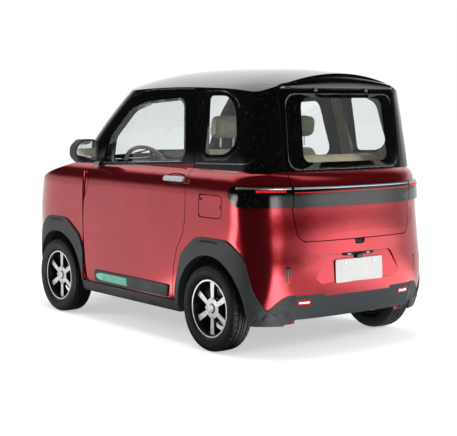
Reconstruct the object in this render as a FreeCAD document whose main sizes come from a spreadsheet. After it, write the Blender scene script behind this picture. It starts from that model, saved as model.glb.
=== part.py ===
"""Four-seat electric microcar, built as separate panels and running gear.

Frame: X forward, Y to the car's left, Z up, millimetres. The origin is on the ground
under the middle of the car's length and width.
"""
import FreeCAD, Part
import Sketcher
import math
import os

from FreeCAD import Placement, Rotation, Vector as V

doc = FreeCAD.newDocument("microcar")

# Driving sizes, one row each: alias, value, what it is
SIZES = [
    ("overall_length", 2862, "bumper to bumper"),
    ("body_width", 1414, "over the widest part of the painted sides"),
    ("roof_height", 1666, "ground to the crown of the roof"),
    ("wheelbase", 1762, "front axle to rear axle"),
    ("rear_overhang", 527, "rear axle to the rear bumper"),
    ("tyre_radius", 254, "outside radius of the tyre"),
    ("tyre_width", 145, "section width of the tyre"),
    ("rim_radius", 171, "outside radius of the rim's flange"),
    ("rim_width", 118, "over the rim's flanges"),
    ("rim_outer_y", 705, "centre plane of the car to the rim's outer flange"),
    ("rim_wall", 6, "thickness of the rim's barrel"),
    ("spoke_count", 6, "spokes of one wheel"),
    ("spoke_width", 30, "width of a spoke"),
    ("spoke_depth", 20, "depth of a spoke at the hub"),
    ("spoke_set_back", 22, "rim's outer flange to the face of the spokes"),
    ("hub_radius", 62, "radius of the wheel's centre disc"),
    ("cap_radius", 30, "radius of the centre cap"),
    ("lug_circle", 110, "pitch circle of the wheel nuts"),
    ("lug_count", 4, "wheel nuts of one wheel"),
    ("lug_radius", 9, "radius of a wheel nut"),
    ("disc_radius", 105, "radius of the brake disc"),
    ("disc_thick", 12, "thickness of the brake disc"),
    ("axle_radius", 14, "radius of a stub axle"),
    ("axle_gap", 0.05, "radial running gap of a hub on its stub axle"),
    ("sill_z", 190, "ground to the underside of the body"),
    ("belt_z", 1062, "ground to the top of the painted sides"),
    ("drip_z", 1545, "ground to the roof's side edge"),
    ("cabin_base_width", 1260, "width of the glasshouse at the belt"),
    ("cabin_top_width", 1116, "width of the glasshouse at the roof's side edge"),
    ("screen_base_x", 860, "windscreen's foot, forward of mid-length"),
    ("screen_top_x", 345, "windscreen's head, forward of mid-length"),
    ("cabin_rear_base", 103, "rear bumper to the rear glass at the belt"),
    ("cabin_rear_top", 172, "rear bumper to the rear glass at the roof"),
    ("wall", 45, "thickness of the body sides, doors and pillars"),
    ("roof_wall", 28, "thickness of the roof with its lining"),
    ("hood_wall", 22, "thickness of the bonnet"),
    ("gap", 5.4, "shut line between panels"),
    ("glass", 5, "thickness of the glass"),
    ("arch_radius", 320, "radius of the wheel opening"),
    ("arch_band", 96, "height of the arch moulding above the wheel opening"),
    ("arch_proud", 10, "how far the moulding stands out of the side"),
    ("door_front_x", 518, "front shut line of the door at mid-height, forward of mid-length"),
    ("door_rear_x", 661, "rear shut line of the door at mid-height, behind mid-length"),
    ("door_bottom_z", 262, "ground to the lower edge of the door"),
    ("door_top_z", 1533, "ground to the upper edge of the door"),
    ("hinge_x", 508, "door hinge axis, forward of mid-length"),
    ("hinge_y", 695, "centre plane of the car to the door hinge axis"),
    ("gate_half", 458, "half width of the tailgate at the glass"),
    ("gate_low_half", 432, "half width of the tailgate at its lower edge"),
    ("gate_low_z", 672, "ground to the lower edge of the tailgate"),
    ("gate_top_z", 1528, "ground to the upper edge of the rear glass"),
    ("bar_low_z", 866, "ground to the lower edge of the lamp bar"),
    ("bar_high_z", 981, "ground to the upper edge of the lamp bar"),
    ("kingpin_y", 590, "centre plane of the car to the kingpin"),
    ("seat_width", 440, "width of a front seat"),
    ("wheel_rim_dia", 368, "diameter of the steering wheel"),
    ("wheel_rim_section", 28, "thickness of the steering wheel's rim"),
    ("wheel_tilt", -64, "tilt of the steering wheel from lying flat, in degrees"),
    ("floor_z", 205, "ground to the floor's underside"),
    ("floor_thick", 18, "thickness of the floor pressing"),
    ("battery_length", 480, "battery case, along the car"),
    ("battery_width", 660, "battery case, across the car"),
    ("battery_height", 177, "battery case, upwards"),
    ("beam_radius", 30, "radius of the rear axle beam"),
    ("beam_length", 1120, "length of the rear axle beam"),
    ("kingpin_radius", 18, "radius of a knuckle's post"),
    ("kingpin_bore", 8.1, "radius of the bores that a knuckle turns in"),
]

sheet = doc.addObject("Spreadsheet::Sheet", "sizes")
for line, (alias, value, note) in enumerate(SIZES, 1):
    sheet.set(f"A{line}", alias)
    sheet.set(f"B{line}", str(value))
    sheet.setAlias(f"B{line}", alias)
    sheet.set(f"C{line}", note)
doc.recompute()


class Sizes:
    """Reads a size from the sheet by its alias."""

    def __getattr__(self, alias):
        return float(sheet.get(alias))


S = Sizes()
REAR_END = -S.overall_length / 2
FRONT_END = S.overall_length / 2
REAR_AXLE = REAR_END + S.rear_overhang
FRONT_AXLE = REAR_AXLE + S.wheelbase
HALF_WIDTH = S.body_width / 2
CLEAR = 0.4

nodes = {}


def node(name, shape):
    """Keeps one finished sub-part as an object of the document."""
    solids = [s for s in shape.Solids if s.Volume > 50]
    if not solids:
        raise RuntimeError(f"{name} is empty")
    keep = solids[0] if len(solids) == 1 else Part.makeCompound(solids)
    item = doc.addObject("Part::Feature", name)
    item.Label = name
    item.Shape = keep
    nodes[name] = item
    return item


def mirror_y(shape):
    return shape.mirror(V(0, 0, 0), V(0, 1, 0))


def both_sides(shape):
    return Part.makeCompound([shape, mirror_y(shape)])


def box(x0, x1, y0, y1, z0, z1):
    return Part.makeBox(x1 - x0, y1 - y0, z1 - z0, V(x0, y0, z0))


def size(alias, factor=1.0, offset=0.0):
    """A length taken from the sheet: its value now, and the words that bind it."""
    return factor * getattr(S, alias) + offset, f"{factor} * sizes.{alias} + {offset}"


def bound(thing, **sizes):
    """Sets an object's own sizes from the sheet."""
    for prop, (value, words) in sizes.items():
        setattr(thing, prop, value)
        thing.setExpression(prop, words)
    return thing


def origin_plane(body, role):
    return next(f for f in body.Origin.OriginFeatures if f.Role == role)


def new_body(name):
    body = doc.addObject("PartDesign::Body", name)
    body.Label = name
    body.AllowCompound = True
    return body


def sketch_on(body, role, name):
    sketch = body.newObject("Sketcher::SketchObject", name)
    sketch.AttachmentSupport = (origin_plane(body, role), [""])
    sketch.MapMode = "FlatFace"
    return sketch


def hold(sketch, kind, line, value, words):
    """Ties the start of a line to the origin, at zero or at a length that the sheet gives."""
    if abs(value) < 1e-9:
        axis = -2 if kind == "DistanceX" else -1
        sketch.addConstraint(Sketcher.Constraint("PointOnObject", line, 1, axis))
        return
    index = sketch.addConstraint(Sketcher.Constraint(kind, -1, 1, line, 1, value))
    if words:
        sketch.setExpression(f"Constraints[{index}]", words)


def draw(sketch, points):
    """A closed outline whose corners are numbers or lengths from the sheet."""
    corners = [[c if isinstance(c, tuple) else (float(c), None) for c in point] for point in points]
    spots = [V(u[0], v[0], 0) for u, v in corners]
    count = len(spots)
    lines = [Part.LineSegment(spots[i], spots[(i + 1) % count]) for i in range(count)]
    sketch.addGeometry(lines, False)
    for i in range(count):
        sketch.addConstraint(Sketcher.Constraint("Coincident", i, 2, (i + 1) % count, 1))
    for i, (u, v) in enumerate(corners):
        hold(sketch, "DistanceX", i, *u)
        hold(sketch, "DistanceY", i, *v)
    return sketch


def turn(body, name, points):
    """Revolves an outline (axial, radial) about the body's Y axis."""
    sketch = draw(sketch_on(body, "YZ_Plane", name + "_outline"), points)
    turned = body.newObject("PartDesign::Revolution", name)
    turned.Profile = sketch
    turned.ReferenceAxis = (sketch, ["H_Axis"])
    turned.Angle = 360
    return turned


def around(body, name, feature, count):
    """Repeats a feature round the body's Y axis."""
    ring = body.newObject("PartDesign::PolarPattern", name)
    ring.Originals = [feature]
    ring.Axis = (origin_plane(body, "Y_Axis"), [""])
    ring.Angle = 360
    ring.Occurrences = int(S.spoke_count)
    ring.setExpression("Occurrences", f"sizes.{count}")
    body.Tip = ring
    return ring


def block(name, x, y, z, length, width, height):
    """A box object with one corner at x, y, z; each size is a number or a length from the sheet."""
    item = doc.addObject("Part::Box", name)
    for prop, wanted in (("Length", length), ("Width", width), ("Height", height)):
        if isinstance(wanted, tuple):
            bound(item, **{prop: wanted})
        else:
            setattr(item, prop, wanted)
    item.Placement = Placement(V(x, y, z), Rotation())
    return item


def bar(name, start, end, radius):
    """A round bar object from start to end."""
    a, b = V(*start), V(*end)
    item = doc.addObject("Part::Cylinder", name)
    item.Height = (b - a).Length
    if isinstance(radius, tuple):
        bound(item, Radius=radius)
    else:
        item.Radius = radius
    item.Placement = Placement(a, Rotation(V(0, 0, 1), b - a))
    return item


def joined(name, items):
    made = doc.addObject("Part::MultiFuse", name)
    made.Shapes = items
    return made


def pared(name, base, tool):
    made = doc.addObject("Part::Cut", name)
    made.Base = base
    made.Tool = tool
    return made


def keep(name, item):
    """Keeps one finished sub-part that is an object of the document already."""
    item.Label = name
    nodes[name] = item
    return item


def polygon(points):
    return Part.makePolygon([*points, points[0]])


def rounded(points, radius):
    """A closed outline in one plane whose corners are arcs of that radius."""
    count = len(points)
    starts, edges = [], []
    for i, corner in enumerate(points):
        before, after = points[i - 1], points[(i + 1) % count]
        into, out = (before - corner).normalize(), (after - corner).normalize()
        half = into.getAngle(out) / 2
        r = radius[i] if isinstance(radius, (list, tuple)) else radius
        reach = r / math.tan(half)
        mid = (into + out).normalize()
        centre = corner + mid * (r / math.sin(half))
        starts.append((corner + into * reach, centre - mid * r, corner + out * reach))
    for i, (a, m, b) in enumerate(starts):
        edges.append(Part.Arc(a, m, b).toShape())
        edges.append(Part.LineSegment(b, starts[(i + 1) % count][0]).toShape())
    return Part.Wire(edges)


def side_prism(wire, y0, y1):
    """A solid from an outline in the XZ plane, between two lateral planes."""
    face = Part.Face(wire)
    face.translate(V(0, y0, 0))
    return face.extrude(V(0, y1 - y0, 0))


def xz(points):
    return [V(x, 0, z) for x, z in points]


def yz(points):
    return [V(0, y, z) for y, z in points]


def half_plan(z, rear_x, front_x, rear_cx, front_cx, half, rear_power, front_power):
    """Points of the body's left half in plan, from the rear centre to the front centre."""
    points = []
    for i in range(9):
        t = math.pi / 2 * i / 9
        back = (rear_cx - rear_x) * math.cos(t) ** (2 / rear_power)
        points.append(V(rear_cx - back, half * math.sin(t) ** (2 / rear_power), z))
    for i in range(9):
        points.append(V(rear_cx + (front_cx - rear_cx) * i / 8, half, z))
    for i in range(8, -1, -1):
        t = math.pi / 2 * i / 9
        ahead = (front_x - front_cx) * math.cos(t) ** (2 / front_power)
        points.append(V(front_cx + ahead, half * math.sin(t) ** (2 / front_power), z))
    return points


def plan_loft(levels, below):
    """Smooth walls through plan outlines given as the points of their left halves."""
    first = levels[0]
    marks = [0.0]
    for a, b in zip(first, first[1:]):
        marks.append(marks[-1] + a.distanceToPoint(b))
    length = marks[-1]
    marks = [m / length for m in marks]
    wires = []
    for points in levels:
        edges = []
        for side in (1, -1):
            curve = Part.BSplineCurve()
            curve.interpolate(
                Points=[V(p.x, p.y * side, p.z) for p in points],
                Parameters=marks,
                InitialTangent=V(0, side * length, 0),
                FinalTangent=V(0, -side * length, 0),
                Scale=False,
            )
            edges.append(curve.toShape())
        wires.append(Part.Wire(edges))
    if below:
        first = wires[0].copy()
        first.translate(V(0, 0, -below))
        wires.insert(0, first)
    return Part.makeLoft(wires, True, False)


# Share of the height from sill to belt, then how far the outline is drawn in from the
# widest side, the rear end and the front end, and the squareness of the rear corners
LOWER_LEVELS = [
    (0.00, 32, 60, 60, 3.2),
    (0.06, 14, 44, 38, 3.2),
    (0.21, 3, 8, 8, 3.2),
    (0.38, 0, 0, 0, 3.05),
    (0.54, 0, 4, 3, 2.75),
    (0.70, 1, 14, 20, 2.6),
    (0.80, 3, 22, 42, 2.6),
    (0.87, 7, 26, 64, 2.6),
    (0.92, 17, 32, 90, 2.6),
    (0.96, 33, 44, 118, 2.7),
    (0.985, 55, 62, 145, 2.8),
    (1.00, 75, 84, 170, 2.9),
]
REAR_CORNER = 391
CABIN_CORNER = 341


def lower_walls(inset):
    levels = []
    for share, tuck, rear_in, front_in, power in LOWER_LEVELS:
        z = S.sill_z + share * (S.belt_z - S.sill_z)
        levels.append(
            half_plan(z, REAR_END + rear_in + inset, FRONT_END - front_in - inset,
                      REAR_END + REAR_CORNER, FRONT_AXLE - 30, HALF_WIDTH - tuck - inset, power, 3.0)
        )
    return plan_loft(levels, 200 if inset else 0)


# Share of the height from belt to the roof's side edge, and the share of the lean of
# the side, the rear glass and the windscreen that is done there
UPPER_LEVELS = [
    (-0.10, -0.10, -0.10, -0.10),
    (0.00, 0.00, 0.00, 0.00),
    (0.20, 0.16, 0.20, 0.175),
    (0.40, 0.36, 0.40, 0.36),
    (0.60, 0.56, 0.60, 0.57),
    (0.80, 0.78, 0.80, 0.80),
    (1.00, 1.00, 1.00, 1.06),
    (1.15, 1.20, 1.16, 1.33),
    (1.32, 1.46, 1.36, 1.72),
]


def upper_walls(inset):
    rear0, rear1 = REAR_END + S.cabin_rear_base, REAR_END + S.cabin_rear_top
    half0, half1 = S.cabin_base_width / 2, S.cabin_top_width / 2
    levels = []
    for share, side, rear, screen in UPPER_LEVELS:
        z = S.belt_z + share * (S.drip_z - S.belt_z)
        half = half0 + side * (half1 - half0) - inset
        front = S.screen_base_x + screen * (S.screen_top_x - S.screen_base_x) - inset * 1.3
        back = rear0 + rear * (rear1 - rear0) + inset
        levels.append(
            half_plan(z, back, front, REAR_END + CABIN_CORNER, front - 520 + inset, half, 3.2, 4.2)
        )
    return plan_loft(levels, 60 if inset else 0)


def along(points, x):
    """Height of a smooth curve through points (Catmull-Rom, uneven spacing allowed)."""
    last = len(points) - 1
    i = max(0, min(last - 1, sum(1 for p in points[1:-1] if p[0] <= x)))
    slopes = []
    for k in (i, i + 1):
        a, b = points[max(k - 1, 0)], points[min(k + 1, last)]
        slopes.append((b[1] - a[1]) / (b[0] - a[0]))
    (x0, z0), (x1, z1) = points[i], points[i + 1]
    step = x1 - x0
    t = (x - x0) / step
    return (
        z0 * (1 + 2 * t) * (1 - t) ** 2 + slopes[0] * step * t * (1 - t) ** 2
        + z1 * t * t * (3 - 2 * t) + slopes[1] * step * t * t * (t - 1)
    )


def under_surface(points, crown, half, floor):
    """Everything below a crowned surface that follows heights given along the car."""
    wires = []
    count = 15
    x0, x1 = points[0][0], points[-1][0]
    for i in range(count):
        x = x0 + (x1 - x0) * i / (count - 1)
        z = along(points, x)
        low, side = V(x, -half, z - crown), V(x, half, z - crown)
        top = Part.Arc(low, V(x, 0, z), side).toShape()
        foot_l, foot_r = V(x, half, floor), V(x, -half, floor)
        edges = [top]
        for a, b in ((side, foot_l), (foot_l, foot_r), (foot_r, low)):
            edges.append(Part.LineSegment(a, b).toShape())
        wires.append(Part.Wire(edges))
    return Part.makeLoft(wires, True, False)


def under_hood(drop):
    nose = FRONT_END
    stations = [
        (REAR_END - 300, S.belt_z + 220), (-700, S.belt_z + 220), (0, S.belt_z + 200),
        (450, S.belt_z + 95), (640, S.belt_z + 32), (nose - 591, S.belt_z - 12),
        (nose - 431, S.belt_z - 52), (nose - 281, S.belt_z - 104), (nose - 160, S.belt_z - 156),
        (nose - 60, S.belt_z - 218), (nose + 60, S.belt_z - 300),
    ]
    return under_surface([(x, z - drop) for x, z in stations], 45, 760, -300)


def under_roof(drop):
    top = S.roof_height
    stations = [
        (REAR_END - 200, top - 90), (REAR_END + 60, top - 58), (REAR_END + 230, top - 38),
        (REAR_END + 500, top - 14), (REAR_END + 800, top - 3), (REAR_END + 1080, top),
        (REAR_END + 1380, top - 6), (REAR_END + 1600, top - 24), (REAR_END + 1780, top - 58),
        (REAR_END + 1960, top - 120), (REAR_END + 2500, top - 390),
    ]
    crown = (S.roof_height - S.drip_z) * ((S.cabin_top_width / 2 + 110) / (S.cabin_top_width / 2)) ** 2
    return under_surface([(x, z - drop) for x, z in stations], crown, S.cabin_top_width / 2 + 110, 400)


LOW_OUT = lower_walls(0).common(under_hood(0))
LOW_IN = lower_walls(S.wall).common(under_hood(S.hood_wall))
UP_OUT = upper_walls(0).common(under_roof(0))
UP_IN = upper_walls(S.wall).common(under_roof(S.roof_wall))

BELOW_BELT = box(REAR_END - 400, FRONT_END + 400, -900, 900, -300, S.belt_z)
ABOVE_BELT = box(REAR_END - 400, FRONT_END + 400, -900, 900, S.belt_z, S.roof_height + 300)
LOW_SKIN = LOW_OUT.cut(LOW_IN)
UP_SKIN = UP_OUT.cut(UP_IN)
LOW_SIDES = LOW_SKIN.common(BELOW_BELT)
UP_SIDES = UP_SKIN.common(ABOVE_BELT)
UNDER_GLASS = upper_walls(S.glass).common(under_roof(S.glass))
LOW_PROUD = lower_walls(-S.arch_proud)


def outline(points, radius, grow=0.0):
    """A rounded outline in the XZ plane, moved outwards by grow."""
    wire = rounded(xz(points), radius)
    return wire.makeOffset2D(grow, 2) if grow else wire


def slide(wire, start, direction):
    """A solid from an outline in the XZ plane at y = start, along any direction."""
    face = Part.Face(wire)
    face.translate(V(0, start, 0))
    return face.extrude(direction)


# Doors: their rear edge is bevelled so that it clears the pillar as the door swings
DOOR_SLANT = 0.17
DOOR_SIDE = 720
DOOR = [
    (S.door_front_x - 77, 1052), (S.door_front_x - 84, 1135), (S.door_front_x - 112, 1217),
    (S.door_front_x - 243, 1386), (S.door_front_x - 385, 1484), (S.door_front_x - 505, S.door_top_z - 14),
    (-127, S.door_top_z), (-S.door_rear_x + 57, S.door_top_z), (-S.door_rear_x + 16, 1289),
    (-S.door_rear_x - 5, 1080), (-S.door_rear_x - 3, 760), (-S.door_rear_x + 21, 672),
    (-S.door_rear_x + 83, 580), (-S.door_rear_x + 112, 480), (-S.door_rear_x + 142, S.door_bottom_z),
    (S.door_front_x - 36, S.door_bottom_z), (S.door_front_x - 14, 448), (S.door_front_x, 620),
    (S.door_front_x - 12, 806), (S.door_front_x - 62, 899), (S.door_front_x - 74, 1000),
]
DOOR_ROUND = [20, 60, 90, 200, 200, 120, 100, 22, 300, 200, 80, 60, 60, 100, 25, 22, 200, 120, 60, 30, 30]


def door_prism(grow):
    wire = outline(DOOR, DOOR_ROUND, grow)
    straight = slide(wire, DOOR_SIDE + 60, V(0, -420, 0))
    slanted = slide(wire, DOOR_SIDE, V(DOOR_SLANT * 360, -360, 0))
    slanted = slanted.fuse(slide(wire, DOOR_SIDE + 60, V(0, -60, 0)))
    return straight.common(slanted)


DOOR_CUT = door_prism(S.gap)
WINDOW = [(304, 1074), (298, 1226), (97, 1402), (-79, 1445), (-470, 1469), (-540, 1110)]
QUARTER = [(-679, 1506), (-874, 1506), (-1002, 1450), (-1064, 1206), (-965, 1138), (-738, 1131)]


def swept_arch(centre_x, radius, y0, y1):
    return Part.makeCylinder(radius, y1 - y0, V(centre_x, y0, S.tyre_radius), V(0, 1, 0))


def arch_cut(centre_x):
    """Room for a wheel: a round opening that runs down to the ground."""
    wheel = swept_arch(centre_x, S.arch_radius, 430, 800)
    low = box(centre_x - S.arch_radius, centre_x + S.arch_radius, 430, 800, -50, S.tyre_radius)
    return wheel.fuse(low)


ARCHES = arch_cut(REAR_AXLE).fuse(arch_cut(FRONT_AXLE))

# Rear opening
GATE = [
    (S.gate_half, S.gate_top_z), (-S.gate_half, S.gate_top_z), (-S.gate_half, S.bar_low_z),
    (-S.gate_low_half, S.gate_low_z), (S.gate_low_half, S.gate_low_z), (S.gate_half, S.bar_low_z),
]


def gate_prism(grow):
    wire = rounded(yz(GATE), [30, 30, 300, 62, 62, 300])
    if grow:
        wire = wire.makeOffset2D(grow, 2)
    face = Part.Face(wire)
    face.translate(V(REAR_END - 60, 0, 0))
    return face.extrude(V(420, 0, 0))


GATE_CUT = gate_prism(S.gap)
REAR_GLASS = [(402, 1488), (-402, 1488), (-418, 1086), (418, 1086)]


def rear_pane(grow):
    wire = rounded(yz(REAR_GLASS), 45)
    if grow:
        wire = wire.makeOffset2D(grow, 2)
    face = Part.Face(wire)
    face.translate(V(REAR_END - 60, 0, 0))
    return face.extrude(V(420, 0, 0))


# Bonnet: its front edge leans forward so that it clears the nose as it opens
BONNET_REAR, BONNET_FRONT = 896, 1322
BONNET_SLANT = 0.55
BONNET = [
    (BONNET_REAR, 492), (BONNET_FRONT - 110, 470), (BONNET_FRONT, 330),
    (BONNET_FRONT, -330), (BONNET_FRONT - 110, -470), (BONNET_REAR, -492),
]
BONNET_Z = 842


def bonnet_prism(grow):
    wire = rounded([V(x, y, 0) for x, y in BONNET], [20, 90, 130, 130, 90, 20])
    if grow:
        wire = wire.makeOffset2D(grow, 2)
    face = Part.Face(wire)
    face.translate(V(0, 0, 700))
    straight = face.extrude(V(0, 0, 500))
    face = Part.Face(wire)
    face.translate(V(-BONNET_SLANT * (BONNET_Z - 700), 0, 700))
    slanted = face.extrude(V(BONNET_SLANT * 500, 0, 500))
    tail = box(BONNET_REAR - grow - 1, BONNET_FRONT - 150, -530, 530, 700, 1200)
    return straight.common(slanted.fuse(tail))


BONNET_CUT = bonnet_prism(S.gap)
LOW_HALF = box(REAR_END - 100, FRONT_END + 100, -900, 900, 0, S.belt_z)


def lateral(points, radius, grow=0.0, y0=380, y1=800):
    """A solid through the left side from an outline in the XZ plane."""
    return slide(outline(points, radius, grow), y1, V(0, y0 - y1, 0))


def facing(points, radius, x0, x1, grow=0.0):
    """A solid from an outline in the YZ plane, between two stations along the car."""
    wire = rounded(yz(points), radius)
    if grow:
        wire = wire.makeOffset2D(grow, 2)
    face = Part.Face(wire)
    face.translate(V(x0, 0, 0))
    return face.extrude(V(x1 - x0, 0, 0))


def flush(prism):
    """Glass in the outer face of the glasshouse."""
    return UP_OUT.common(prism).cut(UNDER_GLASS)


REBATE = 18
SIDE_OPENING = lateral(WINDOW, [30, 60, 160, 160, 60, 60])
SIDE_PANE = flush(lateral(WINDOW, [30, 60, 160, 160, 60, 60], REBATE))
QUARTER_OPENING = lateral(QUARTER, [30, 60, 60, 60, 60, 30])
QUARTER_PANE = flush(lateral(QUARTER, [30, 60, 60, 60, 60, 30], REBATE))
REAR_PANE = flush(rear_pane(REBATE))
SCREEN = [(395, 1532), (-395, 1532), (-520, 1088), (520, 1088)]
SCREEN_OPENING = facing(SCREEN, 60, 250, 950)
SCREEN_PANE = flush(facing(SCREEN, 60, 250, 950, REBATE))

# Door
LEFT = box(REAR_END - 100, FRONT_END + 100, 0, 900, -50, S.roof_height + 50)
LOW_LEFT = LOW_SIDES.common(LEFT)
UP_LEFT = UP_SIDES.common(LEFT)
door_low = LOW_LEFT.common(door_prism(0))
door_high = UP_LEFT.common(door_prism(0)).cut(SIDE_OPENING).cut(SIDE_PANE)
door = door_low.fuse(door_high).cut(SIDE_PANE)
HINGE_LEVELS = (400, 720)
HINGE_PIN, HINGE_ARM, HINGE_FIT = 5, 20, 0.1


def hinge_axis_cylinder(radius, z0, z1):
    return Part.makeCylinder(radius, z1 - z0, V(S.hinge_x, S.hinge_y, z0))


POST_X, POST_THICK = 526, 12
hinges, pockets = [], []
for z in HINGE_LEVELS:
    low, high = z - HINGE_ARM / 2, z + HINGE_ARM / 2
    pockets.append(hinge_axis_cylinder(10.5, low - 5.5, high + 5.5))
    for swing in (0, 22, 44, 66):
        room = box(0, 70, -6 - 5.5, 6 + 5.5, low - 5.5, high + 5.5)
        room.rotate(V(0, 0, 0), V(0, 0, 1), -62 + swing)
        room.translate(V(S.hinge_x, S.hinge_y, 0))
        pockets.append(room)
    pockets.append(hinge_axis_cylinder(HINGE_PIN + HINGE_FIT, z - 32, z + 32))
    arm = box(0, 44, -6, 6, low, high)
    arm.rotate(V(0, 0, 0), V(0, 0, 1), -62)
    arm.translate(V(S.hinge_x, S.hinge_y, 0))
    foot = box(S.hinge_x + 14, POST_X + 2, S.hinge_y - 62, S.hinge_y - 34, low, high)
    pin = hinge_axis_cylinder(HINGE_PIN, z - 30, z + 30)
    boss = hinge_axis_cylinder(8, low, high)
    hinges.append(pin.fuse([boss, arm, foot]))
door = door.cut(pockets)
node("door_left", door)
node("door_right", mirror_y(door))
node("door_glass_left", SIDE_PANE)
node("door_glass_right", mirror_y(SIDE_PANE))

# Door furniture
MOULDING = [(-470, 270), (370, 270), (370, 346), (-490, 346)]
moulding = LOW_PROUD.cut(LOW_OUT).common(lateral(MOULDING, 12, y0=500))
node("door_moulding_left", moulding)
node("door_moulding_right", mirror_y(moulding))
HANDLE = [(-655, 984), (-455, 984), (-455, 1014), (-655, 1014)]
grip = lower_walls(-30).cut(lower_walls(-16)).common(lateral(HANDLE, 14, y0=560, y1=760))
feet = lower_walls(-17).cut(LOW_OUT)
foot_a = feet.common(box(-640, -610, 500, 760, 988, 1010))
foot_b = feet.common(box(-500, -470, 500, 760, 988, 1010))
handle = grip.fuse(foot_a).fuse(foot_b)
node("door_handle_left", handle)
node("door_handle_right", mirror_y(handle))
MIRROR = [(672, 1084), (700, 1057), (806, 1062), (849, 1106), (842, 1172), (792, 1214), (700, 1214), (674, 1190)]
shell = facing(MIRROR, [18, 26, 44, 50, 50, 44, 24, 16], 372, 452)
front_edges = [e for e in shell.Edges if all(abs(v.X - 452) < 0.1 for v in e.Vertexes)]
shell = shell.makeFillet(9, front_edges)
stalk = box(388, 428, 600, 700, 1066, 1092)
mirror = shell.fuse(stalk).cut([UP_OUT, LOW_OUT])
node("door_mirror_left", mirror)
node("door_mirror_right", mirror_y(mirror))

# Tailgate, hinged under the rear of the roof
gate = LOW_SIDES.common(gate_prism(0)).fuse(UP_SIDES.common(gate_prism(0)))
gate = gate.cut(rear_pane(0)).cut(REAR_PANE)
node("rear_glass", REAR_PANE)
BAR_PROUD = 14
bar_skin = lower_walls(-BAR_PROUD).cut(LOW_OUT)
BAR = [
    (REAR_END - 60, S.bar_low_z), (-1150, S.bar_low_z), (-1087, S.bar_low_z + 62),
    (-1110, S.bar_high_z), (REAR_END - 60, S.bar_high_z),
]
bar_skin = bar_skin.common(side_prism(outline(BAR, [5, 40, 20, 20, 5]), -800, 800))
node("lamp_bar", bar_skin.common(gate_prism(0)))
corner = bar_skin.cut(GATE_CUT).common(box(-1600, -1000, 0, 800, 800, 1050))
node("corner_lamps", both_sides(corner))
GATE_AXIS = V(REAR_END + S.cabin_rear_top + 5, 0, S.gate_top_z - 7)
GATE_COVE = 17


def cross_cylinder(at, radius, y0, y1):
    return Part.makeCylinder(radius, y1 - y0, V(at.x, y0, at.z), V(0, 1, 0))


gate_lugs, gate_pockets = [], []
for y in (-200, 200):
    lug = box(GATE_AXIS.x - 5, GATE_AXIS.x + 14, y - 12, y + 12, GATE_AXIS.z - 5, S.gate_top_z + 14)
    lug = lug.fuse(cross_cylinder(GATE_AXIS, 4, y - 32, y + 32))
    gate_lugs.append(lug)
    pocket = box(GATE_AXIS.x - 30, GATE_AXIS.x + 24, y - 18, y + 18, GATE_AXIS.z - 22, S.gate_top_z + 14)
    gate_pockets += [pocket, cross_cylinder(GATE_AXIS, 4.1, y - 33, y + 33)]
node("tailgate", gate.cut(gate_pockets))

# Bonnet
BONNET_AXIS = V(BONNET_REAR + 8, 0, S.belt_z - 38)
BONNET_COVE = 20.5
bonnet_lugs, bonnet_pockets = [], []
for y in (-200, 200):
    lug = box(BONNET_REAR - 12, BONNET_AXIS.x + 5, y - 10, y + 10, BONNET_AXIS.z - 18, BONNET_AXIS.z - 3)
    lug = lug.fuse([
        box(BONNET_AXIS.x - 4, BONNET_AXIS.x + 4, y - 10, y + 10, BONNET_AXIS.z - 10, BONNET_AXIS.z + 3),
        cross_cylinder(BONNET_AXIS, 4, y - 30, y + 30),
    ])
    bonnet_lugs.append(lug)
    pocket = box(BONNET_REAR - 12, BONNET_AXIS.x + 28, y - 16, y + 16, BONNET_AXIS.z - 40, BONNET_AXIS.z + 6)
    bonnet_pockets += [pocket, cross_cylinder(BONNET_AXIS, 4.1, y - 31, y + 31)]
node("bonnet", LOW_SKIN.common(bonnet_prism(0)).cut(bonnet_pockets))

# Greenhouse frame, roof and fixed glass
ROOF_LOW = 1560
roof_zone = box(-1500, 1000, -800, 800, ROOF_LOW, 1800)
node("roof_panel", UP_SKIN.common(roof_zone))
frame = UP_SIDES.cut(roof_zone).cut(DOOR_CUT).cut(mirror_y(DOOR_CUT)).cut(GATE_CUT)
frame = frame.cut(SCREEN_OPENING).cut(SCREEN_PANE)
for part in (QUARTER_OPENING, QUARTER_PANE):
    frame = frame.cut([part, mirror_y(part)])
frame = frame.cut(cross_cylinder(GATE_AXIS, GATE_COVE, -470, 470)).fuse(gate_lugs)
node("pillar_frame", frame)
node("windscreen", SCREEN_PANE)
node("quarter_windows", both_sides(QUARTER_PANE))

# Lower panels
hinge_cove = hinge_axis_cylinder(21.5, 200, 1000)
left_low = LOW_LEFT.cut(DOOR_CUT).cut(arch_cut(REAR_AXLE)).cut(arch_cut(FRONT_AXLE))
SILL_TOP = S.door_bottom_z - S.gap
BUMPER_HALF, BUMPER_TOP, VALANCE_TOP = 401, S.gate_low_z - S.gap, 368
VALANCE = [
    (REAR_END - 60, 190), (-1308, 190), (-1372, 340), (-1392, VALANCE_TOP), (REAR_END - 60, VALANCE_TOP),
]
valance_zone = side_prism(polygon(xz(VALANCE)), -800, 800)
sill_zone = box(-640, 600, 0, 900, 150, SILL_TOP)
quarter = left_low.common(box(-1500, -480, 0, 900, 150, 1100)).cut(sill_zone)
quarter = quarter.cut(GATE_CUT).cut(valance_zone)
quarter = quarter.cut(box(-1500, -1200, 0, BUMPER_HALF, 150, 700))
FLAP = [(-806, 917), (-1020, 917), (-1020, 791), (-806, 791)]
FLAP_THICK, FLAP_ROOM = 8, 26
flap_skin = LOW_OUT.cut(lower_walls(FLAP_THICK))
flap = flap_skin.common(lateral(FLAP, 26, y0=600))
flap_room = LOW_OUT.cut(lower_walls(FLAP_THICK + FLAP_ROOM))
flap_room = flap_room.common(lateral(FLAP, 26, S.gap + 0.2, y0=600))
FLAP_AXIS = (-812, 701)
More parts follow.
